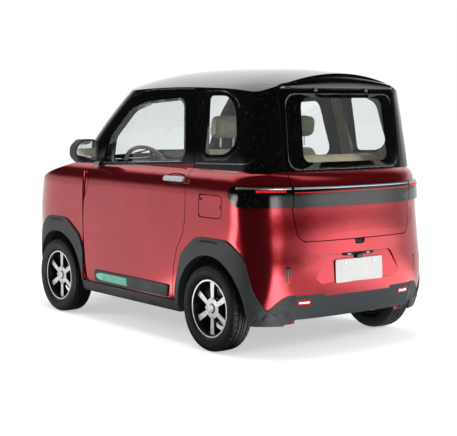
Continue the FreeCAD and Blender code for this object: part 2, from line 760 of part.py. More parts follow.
flap_cove = Part.makeCylinder(12.5, 140, V(*FLAP_AXIS, 784))
flap_lugs, flap_pockets = [], []
for z in (816, 892):
    lug = box(FLAP_AXIS[0] - 3, -795, FLAP_AXIS[1] - 17, FLAP_AXIS[1] - 11, z - 5, z + 5)
    eye = box(FLAP_AXIS[0] - 3, FLAP_AXIS[0] + 1.6, FLAP_AXIS[1] - 17, FLAP_AXIS[1] + 1, z - 5, z + 5)
    flap_lugs.append(lug.fuse([eye, Part.makeCylinder(1.5, 24, V(*FLAP_AXIS, z - 12))]))
    flap_pockets.append(box(FLAP_AXIS[0] - 22, -800, 670, FLAP_AXIS[1] + 3, z - 8, z + 8))
    flap_pockets.append(Part.makeCylinder(1.6, 25, V(*FLAP_AXIS, z - 12.5)))
node("charge_flap", flap.cut(flap_pockets))
charge_side = quarter.cut([flap_room, flap_cove.common(lateral(FLAP, 26, 12, y0=650))]).fuse(flap_lugs)
node("quarter_panels", Part.makeCompound([charge_side, mirror_y(quarter)]))
STEP_HALF, STEP_TOP = 258, 352
middle_step = box(-1500, -1200, -STEP_HALF, STEP_HALF, STEP_TOP, VALANCE_TOP)
valance = LOW_SIDES.common(valance_zone).common(box(-1500, -1200, -800, 800, 222, 400))
reflector_skin = LOW_OUT.cut(lower_walls(5))
for y in (-394, 394):
    reflector = [(y - 46, 305), (y + 46, 305), (y + 46, 342), (y - 46, 342)]
    valance = valance.cut(reflector_skin.common(facing(reflector, 14, -1500, -1300)))
node("rear_valance", valance.cut(middle_step))
bumper_zone = box(-1500, -1200, -BUMPER_HALF, BUMPER_HALF, VALANCE_TOP, BUMPER_TOP).fuse(middle_step)
PLATE_RECESS = [(251, 592), (-251, 592), (-352, 424), (352, 424)]
recess = facing(PLATE_RECESS, [46, 46, 14, 14], -1500, -1350)
leaning_wall = polygon(xz([(-1500, 640), (-1407, 640), (-1424, 400), (-1500, 400)]))
recess = recess.common(side_prism(leaning_wall, -500, 500))
latch_room = facing([(46, 690), (-46, 690), (-34, 638), (34, 638)], [2, 2, 12, 12], -1500, -1402)
node("rear_bumper", LOW_SIDES.common(bumper_zone).cut([recess, latch_room]))
HEADLAMP = [(1160, 838), (1300, 856), (1460, 800), (1460, 700), (1330, 692), (1200, 760)]
headlamp_zone = side_prism(outline(HEADLAMP, [25, 60, 20, 20, 40, 40]), 330, 800)
COWL_X = 620
cowl_zone = box(COWL_X, BONNET_REAR + 20, -500, 500, 880, 1100)
FENDER_FRONT = 1180
fender = left_low.common(box(380, FENDER_FRONT, 0, 900, 150, 1100)).cut(sill_zone)
fender = fender.cut(BONNET_CUT).cut(headlamp_zone).cut(cowl_zone).cut(hinge_cove).cut(hinges)
node("front_fenders", both_sides(fender))
cowl = LOW_SIDES.common(cowl_zone).cut([BONNET_CUT, cross_cylinder(BONNET_AXIS, BONNET_COVE, -498, 498)])
node("cowl_panel", cowl.fuse(bonnet_lugs))
headlamp = LOW_LEFT.common(headlamp_zone).cut(BONNET_CUT)
node("headlamps", both_sides(headlamp))
GRILLE = [(360, 300), (330, 420), (-330, 420), (-360, 300)]
grille_zone = facing(GRILLE, 25, 1300, 1500)
nose = LOW_LEFT.common(box(FENDER_FRONT, 1500, 0, 800, 190, 1100))
nose = nose.cut([BONNET_CUT, headlamp_zone, grille_zone])
nose = nose.fuse(mirror_y(nose)).removeSplitter()
node("front_bumper", nose)
slats = [box(1300, 1460, -400, 400, z, z + 14) for z in (312, 340, 368, 396)]
slats += [box(1300, 1460, y - 8, y + 8, 290, 430) for y in (-240, -80, 80, 240)]
grille = LOW_SKIN.common(grille_zone)
grille_bars = slats[0]
for slat in slats[1:]:
    grille_bars = grille_bars.fuse(slat)
node("front_grille", grille.common(grille_bars))

# Arch mouldings and sills
REAR_BAND = [
    (-556, 150), (-558, 330), (-632, 560), (-780, 668), (-1082, 668), (-1212, 580),
    (-1262, 400), (-1300, 302), (-1352, 236), (-1330, 150),
]
FRONT_BAND = [
    (1168, 150), (1162, 400), (1118, 570), (1000, 668), (740, 668), (560, 556),
    (488, 380), (462, 150),
]


def moulding_band(points, radius, centre_x):
    band = LOW_PROUD.cut(LOW_OUT).common(lateral(points, radius, y0=500))
    flange = LOW_PROUD.cut(LOW_IN).common(swept_arch(centre_x, S.arch_radius, 560, 800))
    flange = flange.cut(swept_arch(centre_x, S.arch_radius - 6, 500, 800))
    flange = flange.common(box(-2000, 2000, 0, 900, S.tyre_radius, 900))
    return band.cut(arch_cut(centre_x)).fuse(flange)


rear_band = moulding_band(REAR_BAND, [10, 150, 150, 150, 150, 150, 200, 100, 20, 10], REAR_AXLE)
front_band = moulding_band(FRONT_BAND, [10, 150, 150, 150, 150, 150, 150, 10], FRONT_AXLE)
sill = LOW_PROUD.cut(LOW_IN).common(box(-640, 600, 0, 900, 190, SILL_TOP))
sill = sill.cut(arch_cut(REAR_AXLE)).cut(arch_cut(FRONT_AXLE))
side_trim = rear_band.fuse(front_band).cut(DOOR_CUT).cut(hinge_axis_cylinder(23.5, 200, 1000))
side_trim = side_trim.cut(box(-2000, 2000, 0, 900, 0, 190)).fuse(sill)
node("side_mouldings", both_sides(side_trim))

# Platform: floor, bulkheads, wheelhouses and hinge posts as one pressing
FLOOR_Z, FLOOR_THICK = S.floor_z, S.floor_thick
REAR_FLOOR_Z = 470
HOUSE_INNER = 418
HOUSE_WALL = 6
inner_half = HALF_WIDTH - S.wall - 6


def wheelhouse(centre_x):
    outer = Part.makeCylinder(
        S.arch_radius + 8 + HOUSE_WALL, inner_half - HOUSE_INNER - 10,
        V(centre_x, HOUSE_INNER, S.tyre_radius), V(0, 1, 0))
    inner = Part.makeCylinder(
        S.arch_radius + 8, inner_half - HOUSE_INNER - HOUSE_WALL,
        V(centre_x, HOUSE_INNER + HOUSE_WALL, S.tyre_radius), V(0, 1, 0))
    return outer.cut(inner).common(box(-2000, 2000, 0, 900, FLOOR_Z, 700))


floor = box(-600, POST_X + POST_THICK, -inner_half, inner_half, FLOOR_Z, FLOOR_Z + FLOOR_THICK)
firewall = box(POST_X, POST_X + POST_THICK, -inner_half, inner_half, FLOOR_Z, 957)
riser = box(-600, -590, -inner_half, inner_half, FLOOR_Z, REAR_FLOOR_Z + 12)
deck = box(-1340, -590, -HOUSE_INNER - 6, HOUSE_INNER + 6, REAR_FLOOR_Z, REAR_FLOOR_Z + 12)
front_deck = box(POST_X, 1300, -HOUSE_INNER - 6, HOUSE_INNER + 6, 514, 524)
rails = []
for side in (1, -1):
    y0, y1 = sorted((side * 285, side * 335.7))
    rails.append(box(-1370, -590, y0, y1, 330, 400))
    rails.append(box(-1370, -1340, y0, y1, 330, REAR_FLOOR_Z + 12))
    rails.append(box(-600, -560, y0, y1, 205, 400))
    rails.append(box(POST_X, 1325, y0, y1, 300, 370))
    rails.append(box(1260, 1300, y0, y1, 300, 530))
    rails.append(box(POST_X, POST_X + 60, y0, y1, 205, 370))
wheelhouses = []
for x in (REAR_AXLE, FRONT_AXLE):
    wheelhouses += [wheelhouse(x), mirror_y(wheelhouse(x))]
platform = floor.fuse([firewall, riser, deck, front_deck, *rails])
arch_all = [arch_cut(x) for x in (REAR_AXLE, FRONT_AXLE)]
platform = platform.cut(arch_all + [mirror_y(a) for a in arch_all]).fuse(wheelhouses).common(LOW_IN)
platform = platform.fuse(hinges + [mirror_y(a) for a in hinges])
node("floor_platform", platform)
battery = block("battery_pack", -440, -S.battery_width / 2, FLOOR_Z + FLOOR_THICK,
                size("battery_length"), size("battery_width"), size("battery_height"))
battery.setExpression("Placement.Base.y", "-0.5 * sizes.battery_width")
battery.setExpression("Placement.Base.z", "sizes.floor_z + sizes.floor_thick")
keep("battery_pack", battery)

# Wheels, each on a stub axle: the outer flange is at y = 0 and the barrel runs towards -y
STUB_END = S.rim_outer_y - 14


def flange(offset):
    return size("rim_radius", 1, offset)


def depth(offset):
    return size("rim_width", -1, offset)


def spoke_face(offset):
    return size("spoke_set_back", -1, offset)


def rim(name):
    body = new_body(name)
    turn(body, name + "_barrel", [
        (0, flange(0)), (0, flange(-9)), (-8, flange(-14)), (-34, flange(-20)),
        (depth(10), flange(-26)), (depth(0), flange(-14)), (depth(0), flange(0)),
        (depth(6), flange(0)), (depth(6), flange(-8)), (depth(14), flange(-15)),
        (-38, flange(-13)), (-10, flange(-8)), (-6, flange(-4)), (-6, flange(0)),
    ])
    turn(body, name + "_hub", [
        (spoke_face(9), 0), (spoke_face(7), size("cap_radius", 1, -8)), (spoke_face(0), size("cap_radius")),
        (spoke_face(-1), size("hub_radius", 1, -2)), (spoke_face(-12), size("hub_radius")),
        (spoke_face(-13), size("lug_circle", 0.5, 18)), (spoke_face(-30), size("lug_circle", 0.5, 22)),
        (spoke_face(-46), 44), (spoke_face(-46), 0),
    ])
    web = sketch_on(body, "XZ_Plane", name + "_spoke_outline")
    web.AttachmentOffset = Placement(V(0, 0, S.spoke_set_back + 1), Rotation())
    web.setExpression("AttachmentOffset.Base.z", "sizes.spoke_set_back + 1")
    draw(web, [
        (size("spoke_width", -0.5, 3), 30), (size("spoke_width", 0.5, -3), 30),
        (size("spoke_width", 0.5, 4), flange(-12)), (size("spoke_width", -0.5, -4), flange(-12)),
    ])
    spoke = body.newObject("PartDesign::Pad", name + "_spoke")
    spoke.Profile = web
    bound(spoke, Length=size("spoke_depth"))
    doc.recompute()
    around(body, name + "_spokes", spoke, "spoke_count")
    nut_spot = sketch_on(body, "XZ_Plane", name + "_nut_outline")
    nut_spot.AttachmentOffset = Placement(V(0, 0, S.spoke_set_back + 14), Rotation())
    nut_spot.setExpression("AttachmentOffset.Base.z", "sizes.spoke_set_back + 14")
    nut_spot.addGeometry(Part.Circle(V(S.lug_circle / 2, 0, 0), V(0, 0, 1), S.lug_radius), False)
    nut_spot.addConstraint(Sketcher.Constraint("PointOnObject", 0, 3, -1))
    across = nut_spot.addConstraint(Sketcher.Constraint("DistanceX", -1, 1, 0, 3, S.lug_circle / 2))
    nut_spot.setExpression(f"Constraints[{across}]", "0.5 * sizes.lug_circle")
    radius = nut_spot.addConstraint(Sketcher.Constraint("Radius", 0, S.lug_radius))
    nut_spot.setExpression(f"Constraints[{radius}]", "sizes.lug_radius")
    nut = body.newObject("PartDesign::Pad", name + "_nut")
    nut.Profile = nut_spot
    nut.Length = 16
    nut.Reversed = True
    doc.recompute()
    around(body, name + "_nuts", nut, "lug_count")
    bore = body.newObject("PartDesign::Groove", name + "_bore")
    bore.Profile = draw(sketch_on(body, "YZ_Plane", name + "_bore_outline"), [
        (spoke_face(-12), 0), (spoke_face(-12), size("axle_radius", 1, S.axle_gap)),
        (spoke_face(-60), size("axle_radius", 1, S.axle_gap)), (spoke_face(-60), 0),
    ])
    bore.ReferenceAxis = (bore.Profile[0], ["H_Axis"])
    bore.Angle = 360
    body.Tip = bore
    return body


def half_depth(offset):
    return size("rim_width", -0.5, offset)


def tyre(name):
    """A hollow tyre whose beads sit between the rim's flanges."""
    crown = size("tyre_radius")
    body = new_body(name)
    turn(body, name + "_section", [
        (-6, flange(0)), (3, flange(12)), (half_depth(72.5), flange(40)), (half_depth(68), size("tyre_radius", 1, -14)),
        (half_depth(55), size("tyre_radius", 1, -2)), (half_depth(0), crown),
        (half_depth(-55), size("tyre_radius", 1, -2)), (half_depth(-68), size("tyre_radius", 1, -14)),
        (half_depth(-72.5), flange(40)), (depth(-3), flange(12)), (depth(6), flange(0)),
        (depth(6), flange(-8)), (depth(14), flange(-15)), (depth(18), flange(-6)), (depth(6), flange(22)),
        (half_depth(-56), size("tyre_radius", 1, -18)), (half_depth(56), size("tyre_radius", 1, -18)),
        (-6, flange(22)), (-18, flange(0)),
        (-18, flange(-9.42)), (-10, flange(-8)), (-6, flange(-4)),
    ])
    return body


for end, x in (("front", FRONT_AXLE), ("rear", REAR_AXLE)):
    for side, sign in (("left", 1), ("right", -1)):
        facing_out = Rotation(V(0, 0, 1), 0 if sign > 0 else 180)
        for kind, make in (("rim", rim), ("tyre", tyre)):
            name = f"{kind}_{end}_{side}"
            wheel = keep(name, make(name))
            wheel.Placement = Placement(V(x, sign * S.rim_outer_y, S.tyre_radius), facing_out)
            wheel.setExpression("Placement.Base.y", f"{sign} * sizes.rim_outer_y")
            wheel.setExpression("Placement.Base.z", "sizes.tyre_radius")
doc.recompute()

# Knuckles turn about upright kingpins between two arms
KINGPIN_LOW, KINGPIN_HIGH = 160, 348


def knuckle(side, sign):
    """Post, stub axle, collar and steering arm, bored at both ends for the ball joints' pins."""
    y = sign * S.kingpin_y
    label = f"knuckle_{side}"
    at = (FRONT_AXLE, y)
    low, high = KINGPIN_LOW, KINGPIN_HIGH
    post = bar(label + "_post", (*at, low), (*at, high), size("kingpin_radius"))
    end_y = sign * (STUB_END - 30)
    stub = bar(label + "_stub", (*at, S.tyre_radius), (FRONT_AXLE, end_y, S.tyre_radius), size("axle_radius"))
    collar = bar(label + "_collar", (*at, S.tyre_radius), (FRONT_AXLE, y + sign * 20, S.tyre_radius), 24)
    arm = block(label + "_arm", FRONT_AXLE - 92, y - (10 if sign > 0 else 6), 208, 92, 16, 18)
    body = joined(label + "_body", [post, stub, collar, arm])
    low_bore = bar(label + "_low_bore", (*at, low - 10), (*at, low + 30), size("kingpin_bore"))
    high_bore = bar(label + "_high_bore", (*at, high - 30), (*at, high + 10), size("kingpin_bore"))
    return pared(label, body, joined(label + "_bores", [low_bore, high_bore]))


keep("knuckle_left", knuckle("left", 1))
keep("knuckle_right", knuckle("right", -1))
doc.recompute()


def rod(a, b, radius):
    a, b = V(*a), V(*b)
    return Part.makeCylinder(radius, (b - a).Length, a, b - a)


def front_side():
    y = S.kingpin_y
    x = FRONT_AXLE
    parts = []
    for z, root_z, pin0 in ((KINGPIN_LOW - 16, 190, KINGPIN_LOW - 16), (KINGPIN_HIGH + 6, 345, KINGPIN_HIGH - 28)):
        parts.append(rod((x - 70, 340, root_z), (x, y - 8, z + 5), 9))
        parts.append(rod((x + 70, 340, root_z), (x, y - 8, z + 5), 9))
        parts.append(Part.makeCylinder(19, 10, V(x, y, z)))
        parts.append(Part.makeCylinder(8, 44, V(x, y, pin0)))
    parts.append(rod((x, 520, 168), (x, 400, 500), 14))
    parts.append(rod((x, 478, 285), (x, 412, 468), 28))
    parts.append(Part.makeCylinder(36, 16, V(x, 388, 498)))
    return parts


cross = box(FRONT_AXLE - 90, FRONT_AXLE + 90, -360, 360, 180, 216)
legs = [box(FRONT_AXLE - 90, FRONT_AXLE + 90, y, y + 24, 200, 300) for y in (-360, 336)]
upper_brackets = [box(FRONT_AXLE - 90, FRONT_AXLE + 90, y, y + 20, 300, 372) for y in (-360, 340)]
arms = front_side()
suspension = cross.fuse([*legs, *upper_brackets, *arms, *[mirror_y(a) for a in arms]])
node("front_suspension", suspension.cut(platform))

half_beam = S.beam_length / 2
wheel_z = S.tyre_radius
beam = bar("axle_beam", (REAR_AXLE, -half_beam, wheel_z), (REAR_AXLE, half_beam, wheel_z), size("beam_radius"))
axle_parts = [beam]
axle_end = STUB_END - 30
axle_parts.append(bar("axle_stubs", (REAR_AXLE, -axle_end, wheel_z), (REAR_AXLE, axle_end, wheel_z), size("axle_radius")))
for side, sign in (("left", 1), ("right", -1)):
    damper_y, arm_y = sign * 380, sign * 310
    axle_parts.append(bar(f"spring_{side}", (REAR_AXLE, damper_y, 260), (REAR_AXLE, damper_y, REAR_FLOOR_Z), 26))
    axle_parts.append(bar(f"trailing_arm_{side}", (REAR_AXLE, arm_y, 254), (-599, arm_y, 300), 16))
axle_whole = joined("axle_whole", axle_parts)
keep("rear_axle", pared("rear_axle", axle_whole, nodes["floor_platform"]))
motor_case = block("motor_case", REAR_AXLE - 110, -170, 160, 230, 300, 212)
keep("drive_motor", pared("drive_motor", motor_case, beam))

# Cabin
DASH = [
    (500, 700), (430, 780), (400, 880), (404, 950), (440, 990), (560, 1012), (760, 1010),
    (780, 985), (600, 958), (POST_X, 958), (POST_X, 700),
]
dash = slide(outline(DASH, [20, 60, 60, 30, 60, 100, 8, 8, 20, 1, 1]), 575, V(0, -1150, 0))
display = box(430, 444, -190, 214, 1000, 1126)
display = display.makeFillet(5, [e for e in display.Edges if abs(e.CenterOfMass.z - 1063) < 1])
binnacle = box(420, 520, 240, 440, 1000, 1040)
binnacle = binnacle.makeFillet(14, [e for e in binnacle.Edges if e.CenterOfMass.z > 1035])
dash_item = node("dashboard", dash.fuse([display, binnacle]).cut(platform))
WHEEL_X, WHEEL_Y, WHEEL_Z = 282, 340, 1000
ring = doc.addObject("Part::Torus", "steering_ring")
bound(ring, Radius2=size("wheel_rim_section", 0.5))
ring.Radius1 = (S.wheel_rim_dia - S.wheel_rim_section) / 2
ring.setExpression("Radius1", "0.5 * (sizes.wheel_rim_dia - sizes.wheel_rim_section)")
boss = bar("steering_boss", (0, 0, -30), (0, 0, 10), 52)
spokes = [block("steering_spokes", -170, -15, -14, 340, 30, 10), block("steering_foot_spoke", -15, -170, -14, 30, 170, 10)]
column = bar("steering_column", (0, 0, -30), (0, 0, -240), 24)
steering = joined("steering_whole", [ring, boss, *spokes, column])
wheel_turn = Rotation(V(0, 1, 0), S.wheel_tilt).multiply(Rotation(V(0, 0, 1), -90))
steering.Placement = Placement(V(WHEEL_X, WHEEL_Y, WHEEL_Z), wheel_turn)
keep("steering_wheel", pared("steering_wheel", steering, dash_item))
doc.recompute()


def padded(points, radius, y0, y1):
    return slide(outline(points, radius), y1, V(0, y0 - y1, 0))


def seat(y):
    half = S.seat_width / 2
    cushion = padded([(60, 430), (110, 560), (60, 610), (-330, 585), (-420, 560), (-420, 430)], [20, 40, 40, 40, 20, 20], y - half, y + half)
    back = padded([(-330, 570), (-415, 520), (-445, 600), (-560, 1160), (-520, 1210), (-450, 1200), (-400, 900)], [20, 20, 20, 40, 30, 40, 60], y - half, y + half)
    head = padded([(-480, 1230), (-585, 1230), (-600, 1370), (-510, 1385)], [30, 30, 40, 40], y - 120, y + 120)
    posts = [Part.makeCylinder(7, 80, V(-530, y + dy, 1180)) for dy in (-50, 50)]
    base = box(-400, 60, y - 180, y + 180, 400, 432)
    return cushion.fuse([back, head, *posts, base])


node("front_seats", Part.makeCompound([seat(290), seat(-290)]))
bench = padded([(-640, 482), (-620, 600), (-680, 640), (-960, 600), (-1020, 482)], [20, 50, 40, 20, 20], -410, 410)
bench_back = padded([(-940, 610), (-1010, 560), (-1030, 600), (-1170, 1140), (-1120, 1180), (-1050, 1150)], [20, 20, 20, 30, 30, 30], -520, 520)
node("rear_bench", bench.fuse(bench_back).cut(platform))
SPINDLE = (884, 150)
spindle = Part.makeCylinder(11, 40, V(*SPINDLE, 1030))
arm_path = [(884, 150, 1068), (800, -60, 1118), (690, -250, 1196)]
wiper = spindle.fuse([rod(arm_path[0], arm_path[1], 7), Part.makeSphere(7, V(*arm_path[1])), rod(arm_path[1], arm_path[2], 5)])
node("wiper", wiper.cut([UP_OUT, LOW_OUT, cowl]))

doc.recompute()
failed = [o.Name for o in doc.Objects if "Invalid" in o.State or "Error" in o.State]
failed += [n for n, o in nodes.items() if o.Shape.isNull() or not o.Shape.isValid()]
if failed:
    raise RuntimeError("not valid: " + ", ".join(failed))
os.makedirs("parts", exist_ok=True)
for name, item in nodes.items():
    item.Shape.exportStep(f"parts/{name}.step")
print(len(nodes), "sub-parts written")
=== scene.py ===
# %% [markdown]
# # A small red city car, dressed for the studio
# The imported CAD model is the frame: every panel, wheel and seat already has its place there.
# This lesson gives that frame its paint, glass, rubber, lamps and cushions. The real car is a
# short box on twelve-inch wheels, metallic red below the windows and gloss black above them.

# %% Load the frame
import math

import bmesh
import bpy
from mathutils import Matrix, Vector
from mathutils.bvhtree import BVHTree


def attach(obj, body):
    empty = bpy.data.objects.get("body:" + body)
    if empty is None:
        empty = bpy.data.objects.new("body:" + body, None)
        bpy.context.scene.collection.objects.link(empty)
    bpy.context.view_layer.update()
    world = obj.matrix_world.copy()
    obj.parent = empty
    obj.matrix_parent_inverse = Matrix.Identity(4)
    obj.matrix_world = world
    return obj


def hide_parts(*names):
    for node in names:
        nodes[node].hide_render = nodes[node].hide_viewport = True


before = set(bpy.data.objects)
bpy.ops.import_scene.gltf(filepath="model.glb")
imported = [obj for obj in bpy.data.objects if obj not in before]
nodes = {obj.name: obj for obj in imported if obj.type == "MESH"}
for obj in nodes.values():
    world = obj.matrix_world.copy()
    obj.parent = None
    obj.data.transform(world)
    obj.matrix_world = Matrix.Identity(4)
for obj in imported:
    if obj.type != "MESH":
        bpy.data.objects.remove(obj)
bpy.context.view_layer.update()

scene = bpy.context.scene
SIDES = ((1, "left"), (-1, "right"))

# %% [markdown]
# ## The camera
# The photograph was taken from behind the left rear corner at about the height of a person's
# chest. A long lens keeps the verticals nearly parallel, so the sensor and lens are set as a
# pair and the camera is turned by two angles only: its heading and a slight look downwards.

# %% Place the camera
camera_data = bpy.data.cameras.new("photo_camera")
camera_data.sensor_width = 36.0
camera_data.lens = 93.67
camera_data.clip_end = 200.0
camera = bpy.data.objects.new("photo_camera", camera_data)
camera.location = (-6.4133, 4.7955, 1.4351)
camera.rotation_euler = (math.radians(84.6), 0.0, math.radians(-127.54))
scene.collection.objects.link(camera)
scene.camera = camera
scene.view_settings.view_transform = "Standard"
print("camera", tuple(camera.location))

# %% [markdown]
# ## Wiring helpers
# Materials are built as node trees in code. One helper adds a node and joins its inputs,
# whether they are given as numbers or as the output of another node, so that each material
# below reads as a short recipe.

# %% Helpers that wire nodes


def feed(tree, node, inputs):
    """Joins or sets a node's inputs, given by name, or by number as i0, i1 and so on."""
    for key, value in inputs.items():
        socket = node.inputs[int(key[1:]) if key[1:].isdigit() else key.replace("_", " ")]
        if isinstance(value, bpy.types.NodeSocket):
            tree.links.new(value, socket)
        else:
            socket.default_value = value
    return node


def add(tree, kind, settings=None, **inputs):
    """Adds a shader node, sets its options and joins or sets its inputs."""
    made = tree.nodes.new("ShaderNode" + kind)
    for key, value in (settings or {}).items():
        setattr(made, key, value)
    return feed(tree, made, inputs)


def calc(tree, operation, a, b=0.0, c=0.0):
    """A Math node's result."""
    return add(tree, "Math", {"operation": operation}, i0=a, i1=b, i2=c).outputs[0]


def blend_colours(tree, factor, a, b):
    """A colour between a and b."""
    return add(tree, "Mix", {"data_type": "RGBA"}, i0=factor, i6=a, i7=b).outputs[2]


def step(tree, value, start, end):
    """A soft step: 0 before start, 1 after end."""
    made = add(tree, "MapRange", {"interpolation_type": "SMOOTHSTEP"}, Value=value)
    made.inputs["From Min"].default_value = start
    made.inputs["From Max"].default_value = end
    return made.outputs[0]


def fade(tree, value, start, end):
    """The soft step turned round: 1 before start, 0 after end."""
    return calc(tree, "SUBTRACT", 1.0, step(tree, value, start, end))


def group(name, inputs, outputs):
    """An empty node group with named sockets."""
    tree = bpy.data.node_groups.new(name, "ShaderNodeTree")
    for label, kind, value in inputs:
        socket = tree.interface.new_socket(label, in_out="INPUT", socket_type="NodeSocket" + kind)
        socket.default_value = value
    for label, kind in outputs:
        tree.interface.new_socket(label, in_out="OUTPUT", socket_type="NodeSocket" + kind)
    return tree, tree.nodes.new("NodeGroupInput"), tree.nodes.new("NodeGroupOutput")


def place(tree, name, **inputs):
    """Puts a shared group into a material with its own values."""
    return feed(tree, add(tree, "Group", {"node_tree": bpy.data.node_groups[name]}), inputs)


print("helpers ready")

# %% [markdown]
# ## The studio
# The background is pure white. It comes from the world and the floor as the camera sees them,
# not from more lamp light. Reflections see a darker studio: a dim wall all round with a bright
# panel on each side of one unlit sector, which draws the dark vertical band down the rear
# corner, and a strip of sky ahead of the car that lies as a sheen on the black roof.

# %% Build the world, lamps and floor
GAP_HEADING, GAP_HALF = 114.0, 40.0
REAR_HEADING, SKY_HEADING = -143.0, -46.0
SIDE_STRIP_HEADING, REAR_STRIP_HEADING = 16.0, -150.0
LIT_LEVEL, PANEL_LEVEL, REAR_LEVEL, SKY_LEVEL = 0.55, 2.6, 0.8, 0.85
FILL_LEVEL, DARK_LEVEL, FLOOR_GAIN = 0.42, 0.015, 1.4


def heading_of(tree, vector, centre):
    """How far a direction's heading is from a centre, in degrees."""
    parts = add(tree, "SeparateXYZ", i0=vector)
    heading = calc(tree, "MULTIPLY", calc(tree, "ARCTAN2", parts.outputs[1], parts.outputs[0]),
                   180 / math.pi)
    return calc(tree, "ABSOLUTE", calc(tree, "SUBTRACT", heading, centre))


def studio_level(tree, vector):
    """How bright the studio looks in reflections: an unlit sector with a bright panel each side."""
    off = heading_of(tree, vector, GAP_HEADING)
    lit = step(tree, off, GAP_HALF - 4, GAP_HALF + 3)
    panel = calc(tree, "MULTIPLY", lit, fade(tree, off, GAP_HALF + 7, GAP_HALF + 20))
    rear = fade(tree, heading_of(tree, vector, REAR_HEADING), 6.0, 30.0)
    level = calc(tree, "MULTIPLY_ADD", panel, PANEL_LEVEL, calc(tree, "MULTIPLY", lit, LIT_LEVEL))
    return calc(tree, "MULTIPLY_ADD", rear, REAR_LEVEL, level)


def rays_of(tree):
    """1 where a ray sees the plain backdrop, and 1 where it is a mirror reflection."""
    light = add(tree, "LightPath")
    through = calc(tree, "MAXIMUM", light.outputs["Is Camera Ray"],
                   light.outputs["Is Transmission Ray"])
    mirror = calc(tree, "MULTIPLY", light.outputs["Is Glossy Ray"],
                  calc(tree, "SUBTRACT", 1.0, through))
    return through, mirror


world = bpy.data.worlds.new("studio")
world.use_nodes = True
scene.world = world
tree = world.node_tree
tree.nodes.clear()
through, mirror = rays_of(tree)
direction = add(tree, "TexCoord").outputs["Generated"]
z = add(tree, "SeparateXYZ", i0=direction).outputs[2]
low = calc(tree, "MULTIPLY", studio_level(tree, direction), fade(tree, z, 0.015, 0.13))
side_strip = fade(tree, heading_of(tree, direction, SIDE_STRIP_HEADING), 8.0, 46.0)
side_strip = calc(tree, "MULTIPLY", side_strip, step(tree, z, 0.34, 0.52))
rear_strip = fade(tree, heading_of(tree, direction, REAR_STRIP_HEADING), 4.0, 22.0)
rear_strip = calc(tree, "MULTIPLY", rear_strip,
                  calc(tree, "MULTIPLY", step(tree, z, 0.36, 0.56), 0.7))
front_sky = fade(tree, heading_of(tree, direction, SKY_HEADING), 26.0, 62.0)
sky_band = calc(tree, "SUBTRACT", step(tree, z, 0.02, 0.10), step(tree, z, 0.42, 0.80))
front_sky = calc(tree, "MULTIPLY", calc(tree, "MULTIPLY", front_sky, sky_band), SKY_LEVEL)
high = calc(tree, "MAXIMUM", calc(tree, "MAXIMUM", side_strip, rear_strip), front_sky)
level = calc(tree, "ADD", calc(tree, "ADD", low, high), DARK_LEVEL)
fill = calc(tree, "MULTIPLY_ADD", mirror, calc(tree, "SUBTRACT", level, FILL_LEVEL), FILL_LEVEL)
strength = calc(tree, "MAXIMUM", fill, through)
shade = add(tree, "Background", Color=(1.0, 1.0, 1.0, 1.0), Strength=strength)
result = add(tree, "OutputWorld")
tree.links.new(shade.outputs[0], result.inputs[0])


def softbox(name, spot, target, width, height, power):
    """A large rectangular lamp that faces the target."""
    data = bpy.data.lights.new(name, "AREA")
    data.shape, data.size, data.size_y, data.energy = "RECTANGLE", width, height, power
    lamp = bpy.data.objects.new(name, data)
    lamp.location = spot
    lamp.rotation_euler = (Vector(target) - Vector(spot)).to_track_quat("-Z", "Y").to_euler()
    lamp.visible_glossy = lamp.visible_transmission = False
    scene.collection.objects.link(lamp)


softbox("overhead_softbox", (-0.3, 0.4, 4.6), (0.0, 0.0, 0.5), 3.4, 2.2, 150.0)
softbox("side_softbox", (3.2, 5.0, 2.9), (0.0, 0.0, 0.7), 2.6, 1.4, 90.0)
softbox("rear_softbox", (-5.2, -2.2, 2.6), (0.0, 0.0, 0.7), 2.0, 1.4, 130.0)

mesh = bpy.data.meshes.new("floor")
mesh.from_pydata([(-60, -60, 0), (60, -60, 0), (60, 60, 0), (-60, 60, 0)], [], [(0, 1, 2, 3)])
floor = bpy.data.objects.new("floor", mesh)
scene.collection.objects.link(floor)
paper = bpy.data.materials.new("studio_paper")
paper.use_nodes = True
tree = paper.node_tree
shader = tree.nodes["Principled BSDF"]
through, mirror = rays_of(tree)
spot = add(tree, "TexCoord").outputs["Object"]
away = add(tree, "VectorMath", {"operation": "LENGTH"}, i0=spot).outputs["Value"]
white = calc(tree, "MULTIPLY_ADD", step(tree, away, 1.4, 3.4), 0.18, 0.52)
level = calc(tree, "MULTIPLY", studio_level(tree, spot),
             calc(tree, "MULTIPLY", step(tree, away, 0.6, 2.4), FLOOR_GAIN))
glow = calc(tree, "ADD", calc(tree, "MULTIPLY", through, white),
            calc(tree, "MULTIPLY", mirror, level))
tree.links.new(add(tree, "CombineColor", i0=glow, i1=glow, i2=glow).outputs[0],
               shader.inputs["Emission Color"])
tone = calc(tree, "MULTIPLY_ADD", mirror, -0.78, 0.8)
tree.links.new(add(tree, "CombineColor", i0=tone, i1=tone, i2=tone).outputs[0],
               shader.inputs["Base Color"])
shader.inputs["Emission Strength"].default_value = 1.0
shader.inputs["Roughness"].default_value = 0.9
shader.inputs["Specular IOR Level"].default_value = 0.1
mesh.materials.append(paper)
print("studio ready")

# %% [markdown]
# ## Effects that several finishes share
# Real surfaces are never one number. Paint has metal flakes under its lacquer, moulded plastic
# a fine leather-like grain, and everything near the road a little dust. Each effect is a node
# group with its own knobs, built once and placed wherever it is needed.

